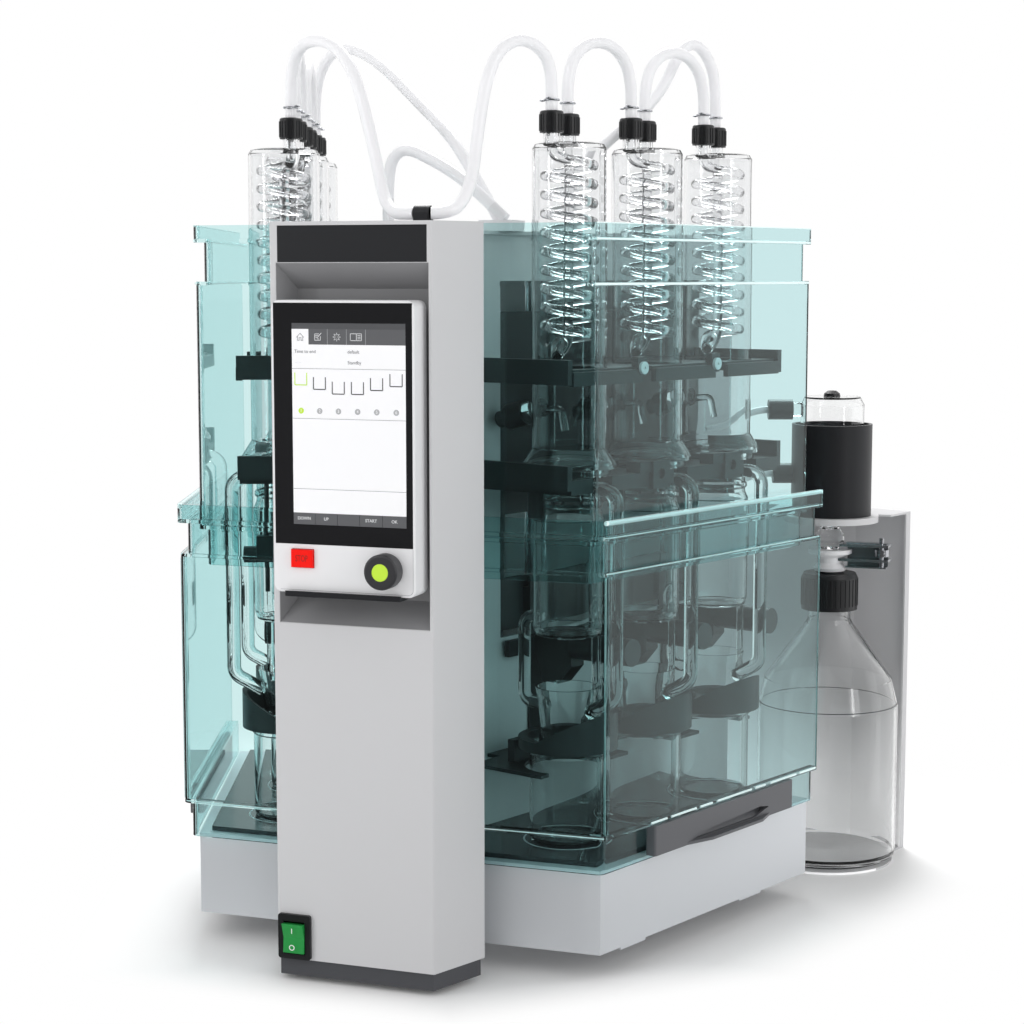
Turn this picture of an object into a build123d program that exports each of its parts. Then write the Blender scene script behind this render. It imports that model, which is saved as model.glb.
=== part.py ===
from build123d import *
import math
import os

# Hot-extraction instrument for six glass positions, in millimetres, +Z up, front facing -Y.
# Every height below counts from the underside of the housing; DATUM then moves the whole
# object so that the middle of its footprint is the origin and its feet stand on z = 0.
FOOT = 5.0
DATUM = (-23.763, -276.5, FOOT)

# Control column at the front: a trapezoid in plan, flat face forward.
COL_FRONT = 67.2
COL_REAR = 90.0
COL_DEPTH = 52.4
COL_TOP = 600.0
COL_WALL = 2.5
PLINTH = 14.0
POCKET_TOP = 568.8
POCKET_FOOT = 286.5
POCKET_DEPTH = 22.0

# Panel: housing, glass, button and knob.
PANEL_X0 = -58.8
PANEL_X1 = 59.8
PANEL_Z0 = 314.0
PANEL_Z1 = 540.0
PANEL_FRONT = -17.0
PANEL_BACK = 8.0
COVER_X0 = PANEL_X0 + 1.8
COVER_X1 = PANEL_X1 - 1.6
COVER_Z0 = PANEL_Z0 + 38.0
COVER_Z1 = PANEL_Z1 - 2.0
BUTTON = (-42.9, -24.7, 334.0, 348.0)
KNOB = (36.8, 334.8)
KNOB_R = 13.7
KNOB_OUT = 15.0
PUSH_PLAY = 0.5

# The two wings: each row of three positions runs back along ROW from the first station.
STATION = (127.1, 152.6)
ROW = 69.934
PITCH = 107.1
STATIONS = (0.0, PITCH, 2 * PITCH)

# Base, tower and heating plates.
BASE_FOOT = 16.9
BASE_TOP = 86.3
PLATE_TOP = 90.3
BASE_PLAN = [(178.5, 79.6), (285.5, 368.5), (140.9, 421.3)]
TOWER_FRONT = (46.2, 163.0)
TOWER_REAR = (177.8, 521.0)
TOWER_TOP = 592.4
LID = 3.0
LID_OVER = 5.0
SHEET = 2.5
WINDOW = (8.6, 290.0, 250.0, TOWER_TOP - 38.4)

# Glass: condenser jacket and its coil, extraction chamber, beaker.
JACKET_R = 30.2
JACKET_TOP = 664.5
FLANGE_R = 38.5
SEAT_Z = 402.0
COIL_R = 19.7
COIL_TUBE = 4.1
COIL_PITCH = 15.1
COIL_TURNS = 9.5
COIL_DROP = 14.5
COIL_TOP = JACKET_TOP - COIL_DROP
CAP_RING = 20.5
CAP_R = 9.6
PORT_RISE = 7.5
CAP_HIGH = 17.5
SLEEVE_HIGH = 14.5
CAP_Z = (JACKET_TOP + PORT_RISE, JACKET_TOP + PORT_RISE + CAP_HIGH)
SLEEVE_TOP = CAP_Z[1] + SLEEVE_HIGH
CHAMBER_R = 29.0
CHAMBER_Z = (262.0, 363.0)
NECK_R = 26.4
VAPOUR_R = 6.0
VAPOUR_OUT = 48.0
RETURN_R = 5.3
RETURN_OUT = 46.0
BEAKER_R = 31.5
GLASS_GAP = 0.3

# Rack that carries the glass: it lifts off the plates by up to LIFT.
LIFT = 60.0
UPPER_Z = (472.0, 492.0)
MIDDLE_Z = (384.0, 396.0)
RAIL_Z = (234.0, 248.0)
SHELF_Z = (150.0, 153.0)
GUIDE_R = 6.0
SLIDE_FIT = 0.05

# Shields: bands of one bent sheet, each (bottom, top, distance from the row, front plane).
SHIELD = 3.0
SHIELD_REAR = 257.0
UPPER_BANDS = [(317.0, 349.0, 62.5, 83.0), (349.0, 552.0, 69.0, 77.0), (552.0, 587.0, 62.5, 83.0),
               (587.0, 599.5, 70.5, 76.2)]
LOWER_BANDS = [(85.0, 116.0, 79.0, 72.0), (116.0, 326.0, 85.0, 67.0), (326.0, 355.0, 79.0, 72.0),
               (355.0, 369.0, 87.0, 65.0)]
UPPER_INNER = 48.0
LOWER_INNER = 62.0

# Tank bottle and its condenser, standing right behind.
TANK = (275.5, 512.0)
BOTTLE_R = 68.0
SLEEVE_R = 38.8

# Cooling-water hose.
HOSE = 9.8


def box(x0, x1, y0, y1, z0, z1):
    return Pos((x0 + x1) / 2, (y0 + y1) / 2, (z0 + z1) / 2) * Box(abs(x1 - x0), abs(y1 - y0), abs(z1 - z0))


def plan(points, z0, z1):
    face = make_face(Polyline(*[(x, y, 0) for x, y in points], close=True))
    return Pos(0, 0, z0) * extrude(face, z1 - z0, dir=(0, 0, 1))


def rod(x, y, z0, z1, r):
    return Pos(x, y, (z0 + z1) / 2) * Cylinder(r, z1 - z0)


def pipe(x, y, z0, z1, r, bore):
    return rod(x, y, z0, z1, r) - rod(x, y, z0 - 1, z1 + 1, bore)


def rod_between(a, b, r):
    a = Vector(*a)
    b = Vector(*b)
    plane = Plane(origin=a, z_dir=b - a)
    return plane * Pos(0, 0, (b - a).length / 2) * Cylinder(r, (b - a).length)


def turned(outline):
    """Solid of revolution about Z from (radius, height) points."""
    face = make_face(Polyline(*[(r, 0, z) for r, z in outline], close=True))
    return revolve(face, Axis.Z)


def wing(u, v, z=0.0):
    """Point on the right wing: u back along the row, v out from it."""
    a = math.radians(ROW)
    return (STATION[0] + u * math.cos(a) + v * math.sin(a), STATION[1] + u * math.sin(a) - v * math.cos(a), z)


def on_wing(solid):
    """Place a solid drawn with x = u and y = -v."""
    return Pos(STATION[0], STATION[1], 0) * Rot(0, 0, ROW) * solid


def slab(u0, u1, v0, v1, z0, z1):
    return on_wing(box(u0, u1, -v1, -v0, z0, z1))


def across(solid):
    return mirror(solid, Plane.YZ)


def both(solids):
    return list(solids) + [across(s) for s in solids]


def round_edges(solid, radius, chosen):
    return fillet(chosen, radius)


def upright(solid, x, y, near=1.0):
    """Vertical edges of a solid that stand at (x, y)."""
    found = []
    for edge in solid.edges().filter_by(Axis.Z):
        c = edge.center()
        if math.hypot(c.X - x, c.Y - y) < near:
            found.append(edge)
    return found


def tube_path(points, radius, name):
    """Round tube on straight runs and tangent arcs, each arc as large as its runs allow."""
    pts = [Vector(*p) for p in points]
    radii = []
    for a, b, c in zip(pts, pts[1:], pts[2:]):
        turn = math.radians((b - a).get_angle(c - b))
        radii.append(0.45 * min((b - a).length, (c - b).length) / math.tan(turn / 2))
    path = FilletPolyline(*pts, radius=radii)
    tube = sweep(Plane(origin=pts[0], z_dir=pts[1] - pts[0]) * Circle(radius), path)
    ideal = math.pi * radius ** 2 * path.length
    print(name, "length", round(path.length, 1), "radii", [round(r) for r in radii],
          "volume ratio", round(tube.volume / ideal, 4))
    return tube


def bent(points, radius, bend):
    """Glass tube with equal bends."""
    pts = [Vector(*p) for p in points]
    path = FilletPolyline(*pts, radius=bend)
    return sweep(Plane(origin=pts[0], z_dir=pts[1] - pts[0]) * Circle(radius), path)


def write(name, *solids):
    flat = []
    for s in solids:
        if isinstance(s, (list, tuple)):
            flat += list(s)
        else:
            flat.append(s)
    kept = []
    for s in flat:
        kept += list(s.solids())
    moved = [Pos(*DATUM) * s for s in kept]
    whole = moved[0] if len(moved) == 1 else Compound(children=moved)
    export_step(whole, "parts/" + name + ".step")


os.makedirs("parts", exist_ok=True)
for old in os.listdir("parts"):
    os.remove(os.path.join("parts", old))


# Control column: bent sheet, open behind the panel pocket, closed at the back.
def column_plan(inset, z0, z1):
    k = (COL_REAR - COL_FRONT) / COL_DEPTH
    side = inset * math.hypot(1, k)
    front = COL_FRONT - side + k * inset
    rear = COL_REAR - side - k * inset
    return plan([(-front, inset), (front, inset), (rear, COL_DEPTH - inset), (-rear, COL_DEPTH - inset)],
                z0, z1)


def pocket(grow):
    front = Pos(1.25, -0.01, (POCKET_TOP + POCKET_FOOT) / 2) * Rot(90, 0, 0) * Rectangle(
        127.5 + 2 * grow, POCKET_TOP - POCKET_FOOT + 2 * grow)
    back = Pos(1.0, POCKET_DEPTH + grow, 427.2) * Rot(90, 0, 0) * Rectangle(110 + 2 * grow, 242.4 + 2 * grow)
    return loft([front, back])


column = column_plan(0, PLINTH, COL_TOP)
for sx in (-1, 1):
    column = fillet(upright(column, sx * COL_FRONT, 0), 2.5)
column = column - (column_plan(COL_WALL, PLINTH - 1, COL_TOP - COL_WALL) - pocket(COL_WALL))
column = column - pocket(0)
column = column - box(-61.0, 63.6, -1, 1.6, POCKET_TOP, COL_TOP - 3.0)
column = column - box(-63.0, -41.0, -1, COL_WALL + 1, 17.0, 47.0)
column = column - rod_between((1.0, POCKET_DEPTH - 1, 400), (1.0, POCKET_DEPTH + COL_WALL + 1, 400), 9.0)
write("control_column", column)
header = box(-60.9, 63.5, 0.1, 1.6, POCKET_TOP + 0.1, COL_TOP - 3.1)
plinth = column_plan(1.8, 0, PLINTH)
plinth = plinth - column_plan(6.0, -1, PLINTH - 4)
write("column_trims", header, plinth)

# Panel housing: a tray with rounded corners, glass in front, circuit board inside.
px = (PANEL_X0 + PANEL_X1) / 2
pz = (PANEL_Z0 + PANEL_Z1) / 2
shell = Pos(px, (PANEL_FRONT + PANEL_BACK) / 2, pz) * Box(
    PANEL_X1 - PANEL_X0, PANEL_BACK - PANEL_FRONT, PANEL_Z1 - PANEL_Z0)
shell = fillet(shell.edges().filter_by(Axis.Y), 6.0)
shell = fillet(shell.faces().sort_by(Axis.Y)[0].edges(), 1.6)
shell = shell - box(PANEL_X0 + 2.5, PANEL_X1 - 2.5, PANEL_FRONT + 2.6, PANEL_BACK - 2.5, PANEL_Z0 + 2.5,
                    PANEL_Z1 - 2.5)
shell = shell - box(COVER_X0, COVER_X1, PANEL_FRONT - 1, PANEL_FRONT + 1.4, COVER_Z0, COVER_Z1)
shell = shell - box(-46.0, 50.0, PANEL_FRONT - 1, PANEL_FRONT + 4, COVER_Z0 + 6, COVER_Z1 - 8)
shell = shell - box(BUTTON[0] - PUSH_PLAY, BUTTON[1] + PUSH_PLAY, PANEL_FRONT - 1, PANEL_FRONT + 4,
                    BUTTON[2] - PUSH_PLAY, BUTTON[3] + PUSH_PLAY)
shell = shell - rod_between((KNOB[0], PANEL_FRONT - 1, KNOB[1]), (KNOB[0], PANEL_FRONT + 4, KNOB[1]),
                            3.0 + SLIDE_FIT)
stub = rod_between((1.0, PANEL_BACK, 400), (1.0, POCKET_DEPTH + 12, 400), 8.8)
stub = stub - rod_between((1.0, PANEL_BACK - 1, 400), (1.0, POCKET_DEPTH + 13, 400), 6.0)
shell = shell - rod_between((1.0, PANEL_BACK - 4, 400), (1.0, PANEL_BACK + 1, 400), 6.0)
write("panel_housing", shell + stub)
write("display_glass", box(COVER_X0 + 0.1, COVER_X1 - 0.1, PANEL_FRONT + 0.1, PANEL_FRONT + 1.4,
                           COVER_Z0 + 0.1, COVER_Z1 - 0.1))
tray = box(-47.4, 49.3, -22.0, -0.4, 311.6, 313.8)
tray = tray + box(-47.4, 49.3, -22.0, -20.0, 311.6, 315.7)
write("panel_tray", fillet(tray.edges().filter_by(Axis.Z).group_by(Axis.Y)[0], 1.0))
board = box(-52.0, 53.0, -3.0, -1.4, 322.0, 530.0)
board = board - rod(KNOB[0], -2, KNOB[1] - 4, KNOB[1] + 4, 4.0)
board = board + box(-44.0, 48.0, -1.4, 4.0, 380.0, 510.0)
for sx in (-50.0, 51.0):
    for sz in (324.5, 527.5):
        board = board + rod_between((sx, -1.4, sz), (sx, PANEL_BACK - 2.5, sz), 2.0)
write("control_board", board)
stop = box(BUTTON[0], BUTTON[1], PANEL_FRONT - 3.0, PANEL_FRONT + 6.0, BUTTON[2], BUTTON[3])
write("stop_button", fillet(stop.faces().sort_by(Axis.Y)[0].edges(), 0.8))
shaft = rod_between((KNOB[0], PANEL_FRONT - 8.0, KNOB[1]), (KNOB[0], PANEL_FRONT + 9.0, KNOB[1]), 3.0)
shaft = shaft + rod_between((KNOB[0], PANEL_FRONT + 6.0, KNOB[1]), (KNOB[0], PANEL_FRONT + 9.0, KNOB[1]), 5.5)
write("knob_shaft", shaft)
knob = rod_between((KNOB[0], PANEL_FRONT - KNOB_OUT, KNOB[1]), (KNOB[0], PANEL_FRONT - 2.4, KNOB[1]), KNOB_R)
knob = fillet(knob.edges().sort_by(Axis.Y)[0], 2.2)
knob = knob - rod_between((KNOB[0], PANEL_FRONT - KNOB_OUT - 1, KNOB[1]),
                          (KNOB[0], PANEL_FRONT - KNOB_OUT + 0.7, KNOB[1]), 6.8)
knob = knob - rod_between((KNOB[0], PANEL_FRONT - 8.1, KNOB[1]), (KNOB[0], PANEL_FRONT, KNOB[1]),
                          3.0 + SLIDE_FIT)
write("selector_knob", knob)

# Mains switch low on the column: frame, body behind the sheet and the rocker on its pin.
SWITCH = (-52.0, 32.0)
frame = box(SWITCH[0] - 14, SWITCH[0] + 14, -3.0, 0, SWITCH[1] - 17.4, SWITCH[1] + 19)
frame = fillet(frame.edges().filter_by(Axis.Y), 2.0)
frame = frame + box(-62.9, -41.1, 0, 26.0, 17.1, 46.9)
frame = frame - box(SWITCH[0] - 9.4, SWITCH[0] + 9.4, -4, 20.0, SWITCH[1] - 13.4, SWITCH[1] + 13.4)
for sx in (-1, 1):
    frame = frame - rod_between((SWITCH[0] + sx * 8, 3, SWITCH[1]), (SWITCH[0] + sx * 10.6, 3, SWITCH[1]),
                                1.5 + SLIDE_FIT)
write("switch_frame", frame)
rocker = extrude(make_face(Polyline(
    (0, -7.4, SWITCH[1] + 12.2), (0, -3.6, SWITCH[1]), (0, -4.6, SWITCH[1] - 12.2),
    (0, 7.0, SWITCH[1] - 10.0),
    (0, 12.0, SWITCH[1]), (0, 7.0, SWITCH[1] + 10.0), close=True)), 9.0, dir=(1, 0, 0), both=True)
rocker = Pos(SWITCH[0], 0, 0) * rocker
rocker = rocker + rod_between((SWITCH[0] - 10.4, 3, SWITCH[1]), (SWITCH[0] + 10.4, 3, SWITCH[1]), 1.5)
write("power_rocker", rocker)

# Base: brushed sheet over both wings, a closed tray with an open underside.
corners = BASE_PLAN + [(-x, y) for x, y in reversed(BASE_PLAN)]
base = plan(corners, BASE_FOOT, BASE_TOP)
inner = plan([(x - 3.2 if x > 0 else x + 3.2, y + 3.0 if y < 100 else y - 3.0) for x, y in corners],
             BASE_FOOT - 1, BASE_TOP - SHEET)
base = base - inner
base = base - plan([(-91, 52), (91, 52), (91, 52), (91, 82), (-91, 82)][:2] + [(91, 79.7), (-91, 79.7)], 0,
                   100)
for u in (-22.0, 152.0):
    tab = slab(u, u + 34, 71.0, 72.6, BASE_FOOT - 2.6, BASE_FOOT + 4)
    for part in both([tab]):
        base = base + part
write("base_housing", base)


def plate_outline(gap, drop, z0, z1):
    side0 = wing(0, 63.5 - drop)
    a = math.radians(ROW)
    front_y = 89.6 + drop
    reach = (front_y - side0[1]) / math.sin(a)
    corner = (side0[0] + reach * math.cos(a), front_y)
    far = wing(247.0 - drop, 63.5 - drop)
    back = wing(247.0 - drop, -79.6 + gap)
    front = wing(-15.0, -79.6 + gap)
    return plan([(46.2 + gap, front_y), corner, far[:2], back[:2], front[:2],
                 (46.2 + gap, TOWER_FRONT[1] - 4)], z0, z1)


plate = plate_outline(0.6, 0.0, BASE_TOP, PLATE_TOP)
write("heating_plates", both([plate]))
write("heater_elements", both([rod(*wing(u, 0)[:2], BASE_TOP - SHEET - 9.0, BASE_TOP - SHEET,
                                   36.0) for u in STATIONS]))

feet = [rod(x, 28.0, -FOOT, PLINTH - 4.0, 9.0) for x in (-52.0, 52.0)]
for u in (STATIONS[0] + 0.5 * PITCH, STATIONS[1] + 0.5 * PITCH):
    x, y, z = wing(u, 0)
    feet += [pipe(s * x, y, -FOOT, BASE_TOP - SHEET, 13.0, 4.0) for s in (-1, 1)]
feet += [pipe(s * 140.0, 492.0, -FOOT, BASE_FOOT, 13.0, 4.0) for s in (-1, 1)]
write("rubber_feet", feet)

# Tower: folded sheet with a tall window in each side for the arms of the rack.
def tower_plan(inset, z0, z1):
    k = (TOWER_REAR[0] - TOWER_FRONT[0]) / (TOWER_REAR[1] - TOWER_FRONT[1])
    side = inset * math.hypot(1, k)
    front = TOWER_FRONT[0] - side + k * inset
    rear = TOWER_REAR[0] - side - k * inset
    y0 = TOWER_FRONT[1] + inset
    y1 = TOWER_REAR[1] - inset
    return plan([(-front, y0), (front, y0), (rear, y1), (-rear, y1)], z0, z1)


tower = tower_plan(0, BASE_TOP, TOWER_TOP) - tower_plan(SHEET, BASE_TOP + SHEET, TOWER_TOP + 1)
window = slab(WINDOW[0], WINDOW[1], -79.6 - 4, -79.6 + 4, WINDOW[2], WINDOW[3])
seam = slab(-30, WINDOW[1] + 80, -79.9, -79.0, 246.0, 246.8)
for part in both([window, seam]):
    tower = tower - part
tower = tower - box(-60.0, 60.0, TOWER_REAR[1] - 4, TOWER_REAR[1] + 4, 120.0, 420.0)
NECK_TOP = TOWER_TOP - 32.4
neck = box(-42.0, 42.0, COL_DEPTH, TOWER_FRONT[1], BASE_TOP, NECK_TOP)
neck = neck - box(-39.5, 39.5, COL_DEPTH - 1, TOWER_FRONT[1] + 1, BASE_TOP + SHEET, NECK_TOP - SHEET)
tower = tower + neck
skirt = plan([(-140.9, 421.6), (140.9, 421.6), TOWER_REAR, (-TOWER_REAR[0], TOWER_REAR[1])], BASE_FOOT,
             BASE_TOP)
skirt = skirt - plan([(-138.4, 424.1), (138.4, 424.1), (174.4, 518.5), (-174.4, 518.5)], BASE_FOOT + SHEET,
                     BASE_TOP + 1)
tower = tower + skirt
write("tower_housing", tower)
lid = tower_plan(-LID_OVER, TOWER_TOP, TOWER_TOP + LID) + tower_plan(SHEET + 0.2, TOWER_TOP - 1.0, TOWER_TOP)
write("tower_lid", lid)
rear = box(-66.0, 66.0, TOWER_REAR[1], TOWER_REAR[1] + 1.5, 114.0, 426.0)
for x in (-62.0, 62.0):
    for z in (120.0, 270.0, 420.0):
        rear = rear + rod_between((x, TOWER_REAR[1] + 1.5, z), (x, TOWER_REAR[1] + 3.0, z), 3.0)
write("tower_rear_panel", rear)
inlet = box(-24.0, 24.0, TOWER_REAR[1], TOWER_REAR[1] + 5.0, 34.0, 66.0)
inlet = fillet(inlet.edges().filter_by(Axis.Y), 3.0)
inlet = inlet - box(-13.0, 13.0, TOWER_REAR[1] + 1.0, TOWER_REAR[1] + 6.0, 40.0, 60.0)
for x in (-8.0, 0.0, 8.0):
    inlet = inlet + box(x - 1.0, x + 1.0, TOWER_REAR[1] + 0.9, TOWER_REAR[1] + 4.6, 47.0, 53.0)
write("power_inlet", inlet)

# Lift: a fixed actuator tube and two guide rods, all inside the tower.
LIFT_Y = 300.0
drive = rod(0, LIFT_Y, BASE_TOP + SHEET, 300.0, 17.0) - rod(0, LIFT_Y, 100.0, 301.0, 8.0 + SLIDE_FIT)
for x in (-45.0, 45.0):
    drive = drive + rod(x, LIFT_Y, BASE_TOP + SHEET, TOWER_TOP - 1.0, GUIDE_R)
write("lift_column", list(drive.solids()))
ram = rod(0, LIFT_Y, 190.0, 430.0, 8.0)
beam = box(-62.0, 62.0, LIFT_Y - 14, LIFT_Y + 14, 430.0, 470.0)
for x in (-45.0, 45.0):
    beam = beam - rod(x, LIFT_Y, 429.0, 471.0, GUIDE_R + SLIDE_FIT)


carriage = beam
for part in both([slab(14.0, 262.0, -88.0, -84.0, 255.0, 528.0) - slab(20.0, 256.0, -90, -83, 300.0, 355.0)]):
    carriage = carriage + part
bar = plan([(-85.0, LIFT_Y - 14), (85.0, LIFT_Y - 14), (88.0, LIFT_Y - 6), (-88.0, LIFT_Y - 6)], 430.0, 470.0)
carriage = carriage + bar + ram
write("lift_carriage", carriage)

# Holders: two shelves per wing with forks for the glass, reaching in through the window.
def shelf(z0, z1, hole, u1, v1):
    plate = slab(-42, u1, -60, v1, z0, z1) + slab(14, 262, -84, -60, z0, z1)
    for u in STATIONS:
        plate = plate - rod(*wing(u, 0)[:2], z0 - 1, z1 + 1, hole)
    return plate


upper = shelf(480.0, 484.0, JACKET_R + 0.8, 256, 33)
upper = upper + slab(-48, -42, -60, 37, *UPPER_Z) + slab(256, 262, -60, 37, *UPPER_Z)
upper = upper + slab(-42, 256, 33, 38, 471, 482)
KNOB_U = (0.5 * PITCH - 5.0, 1.5 * PITCH - 5.0)
for u in KNOB_U:
    upper = upper - slab(u, u + 19, 21, 39, 470, 485)
    upper = upper + slab(u - 6, u + 6, 31, 38, 476, UPPER_Z[1])
middle = shelf(MIDDLE_Z[0], MIDDLE_Z[1], NECK_R + 0.8, 258, 36)
for u in STATIONS:
    middle = middle - slab(u - 10, u + 10, 10, 50, 380, 400)
middle = middle + slab(-48, -42, -60, 37, 388, 408) + slab(258, 264, -40, 36, 387, 410)
for u in (74.0, 74.0 + PITCH):
    pad = slab(u - 12, u + 12, 36, 40, 382, 405) + slab(u - 28, u - 6, 24, 38, 396, 405)
    middle = middle + (pad - rod_between(wing(u, 30, 394), wing(u, 50, 394), 4.6))
for u in STATIONS:
    collar = pipe(*wing(u, 0)[:2], 361.0, MIDDLE_Z[0], 33.0, 30.0) - slab(u - 50, u + 50, 0, 50, 300, 400)
    middle = middle + collar
write("rack_holders", both([upper, middle]))
pegs = []
for u in KNOB_U:
    peg = rod_between(wing(u, 38, 483), wing(u, 40.5, 483), 5.2)
    pegs.append(peg - rod_between(wing(u, 39.5, 483), wing(u, 41, 483), 1.3))
write("holder_knobs", both(pegs))

# Condenser glass, drawn once about its own axis: ports at 178 +- 66 degrees, side neck to -V.
PORTS = (244.0, 112.0)
LEFT_TURN = -158.5


def ring_point(r, deg, z):
    return (r * math.cos(math.radians(deg)), r * math.sin(math.radians(deg)), z)


def at_stations(right, left):
    placed = [Pos(*wing(u, 0)) * right for u in STATIONS]
    for u in STATIONS:
        x, y, z = wing(u, 0)
        placed.append(Pos(-x, y, z) * left)
    return placed


def jacket():
    wall = JACKET_R - 2.1
    top = JACKET_TOP
    glass = turned([(FLANGE_R - 4, SEAT_Z), (FLANGE_R, SEAT_Z), (FLANGE_R, SEAT_Z + 3),
                    (JACKET_R, SEAT_Z + 16),
                    (JACKET_R, top - 4.5), (JACKET_R - 2, top - 0.9), (JACKET_R - 5.2, top), (0, top),
                    (0, top - 2.2),
                    (JACKET_R - 5.2, top - 2.2), (wall, top - 5), (wall, SEAT_Z + 16.6),
                    (FLANGE_R - 4, SEAT_Z + 4)])
    for deg in PORTS:
        x, y, z = ring_point(CAP_RING, deg, 0)
        glass = glass + rod(x, y, JACKET_TOP - 2.1, CAP_Z[0], 7.0)
        glass = glass - rod(x, y, JACKET_TOP - 4.5, CAP_Z[0] + 1, COIL_TUBE + 0.1)
    return glass


def side_neck(sign):
    a = math.radians(ROW)
    d = (-sign * math.sin(a), math.cos(a))

    def point(v, z):
        return (d[0] * v, d[1] * v, z)
    neck = rod_between(point(27.5, 450.0), point(43.0, 446.0), 8.0)
    drip = bent([point(36.0, 447.8), point(7.0, 450.0), point(3.0, 432.0)], 3.0, 5.0)
    cap = rod_between(point(43.0, 446.0), point(62.0, 441.0), 11.0)
    arm = rod_between(point(62.0, 441.0), point(72.5, 438.3), 7.0)
    return neck + drip, cap + arm


plain = jacket()
right_neck, right_cap = side_neck(1)
left_neck, left_cap = side_neck(-1)
write("condenser_jackets", at_stations(plain + right_neck, Rot(0, 0, LEFT_TURN) * plain + left_neck))


def link(p0, t0, p1, t1):
    """Two tangent arcs from p0 along t0 to p1 along t1."""
    v = p1 - p0
    s = t0 + t1
    a = s.dot(s) - 4
    b = -2 * v.dot(s)
    c = v.dot(v)
    if abs(a) < 1e-9:
        d = -c / b
    else:
        d = (-b - math.sqrt(b * b - 4 * a * c)) / (2 * a)
        if d <= 0:
            d = (-b + math.sqrt(b * b - 4 * a * c)) / (2 * a)
    joint = ((p0 + t0 * d) + (p1 - t1 * d)) * 0.5
    first = Edge.make_tangent_arc(p0, t0, joint)
    return [first, Edge.make_tangent_arc(joint, first.tangent_at(1), p1)]


def coil():
    fall = COIL_PITCH / (2 * math.pi * COIL_R)

    def on_coil(turn):
        deg = PORTS[0] + 50 + 360 * turn
        p = Vector(*ring_point(COIL_R, deg, COIL_TOP - COIL_PITCH * turn))
        t = Vector(-math.sin(math.radians(deg)), math.cos(math.radians(deg)), -fall).normalized()
        return p, t
    down = Vector(0, 0, -1)
    up = Vector(0, 0, 1)
    start = Vector(*ring_point(CAP_RING, PORTS[0], CAP_Z[0]))
    drop = Vector(*ring_point(CAP_RING, PORTS[0], JACKET_TOP - 3))
    edges = [Edge.make_line(start, drop)]
    p, t = on_coil(0)
    edges += link(drop, down, p, t)
    turn = 0.0
    while turn < COIL_TURNS - 0.01:
        q, w = on_coil(turn + 0.5)
        edges += link(p, t, q, w)
        p, t = q, w
        turn += 0.5
    deg = PORTS[0] + 50 + 360 * COIL_TURNS + 90
    inward = Vector(*ring_point(10.0, deg, p.Z - 14.0))
    heading = Vector(-math.sin(math.radians(deg)), math.cos(math.radians(deg)), 0)
    edges += link(p, t, inward, heading)
    foot = Vector(0, 0, p.Z + 6.0)
    edges += link(inward, heading, foot, up)
    top = Vector(0, 0, COIL_TOP - 10)
    edges.append(Edge.make_line(foot, top))
    port = Vector(*ring_point(CAP_RING, PORTS[1], JACKET_TOP - 3))
    edges += link(top, up, port, up)
    edges.append(Edge.make_line(port, Vector(port.X, port.Y, CAP_Z[0])))
    path = Wire(edges)
    tube = sweep(Plane(origin=start, z_dir=down) * Circle(COIL_TUBE), path)
    spots = [path.position_at(i / 500) for i in range(501)]
    step = path.length / 500
    apart = int(4 * COIL_TUBE / step) + 2
    least = min((spots[i] - spots[j]).length for i in range(501) for j in range(i + apart, 501))
    print("coil length", round(path.length), "gap to itself", round(least - 2 * COIL_TUBE, 2),
          "volume ratio", round(tube.volume / (math.pi * COIL_TUBE ** 2 * path.length), 4))
    return tube


glass_coil = coil()
write("condenser_coils", at_stations(glass_coil, Rot(0, 0, LEFT_TURN) * glass_coil))


def port_set(make):
    found = None
    for deg in PORTS:
        part = make(*ring_point(CAP_RING, deg, 0)[:2], deg)
        found = [part] if found is None else found + [part]
    return found


def all_ports(make):
    out = []
    for part in port_set(make):
        out += at_stations(part, Rot(0, 0, LEFT_TURN) * part)
    return out


def port_cap(x, y, deg):
    cap = rod(x, y, CAP_Z[0], CAP_Z[1], CAP_R)
    return fillet(cap.edges().sort_by(Axis.Z)[-1], 2.0)


write("condenser_caps", all_ports(port_cap) + at_stations(right_cap, left_cap))
write("hose_sleeves", all_ports(lambda x, y, deg: rod(x, y, CAP_Z[1], SLEEVE_TOP, HOSE / 2)))


def clamp(x, y, deg):
    ring = Pos(x, y, SLEEVE_TOP - 6) * Torus(HOSE / 2 + 0.9, 0.9)
    for k in (-1, 1):
        ear = ring_point(HOSE / 2 + 3.0, deg + 25 * k, 0)
        ring = ring + Pos(x + ear[0], y + ear[1], SLEEVE_TOP - 6 + k) * Torus(1.6, 0.7)
    return ring


write("hose_clamps", all_ports(clamp))

# Extraction chambers: a cup hung by its rim, then its outer tubes with the open joint below.
def chamber(u):
    foot, top = CHAMBER_Z
    rim = MIDDLE_Z[1]
    bore = NECK_R - 2
    cup = turned([(bore, SEAT_Z), (34, SEAT_Z), (34, rim), (NECK_R, rim), (NECK_R, rim - 20), (28, rim - 22),
                  (28, rim - 25), (NECK_R, rim - 27), (NECK_R, top + 3), (CHAMBER_R, top - 3),
                  (CHAMBER_R, foot + 8),
                  (27, foot + 2), (22, foot), (0, foot), (0, foot + 2), (22, foot + 2), (25.4, foot + 4),
                  (CHAMBER_R - 2, foot + 9), (CHAMBER_R - 2, top - 4), (bore, top + 3)])
    return Pos(*wing(u, 0)) * cup


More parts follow.
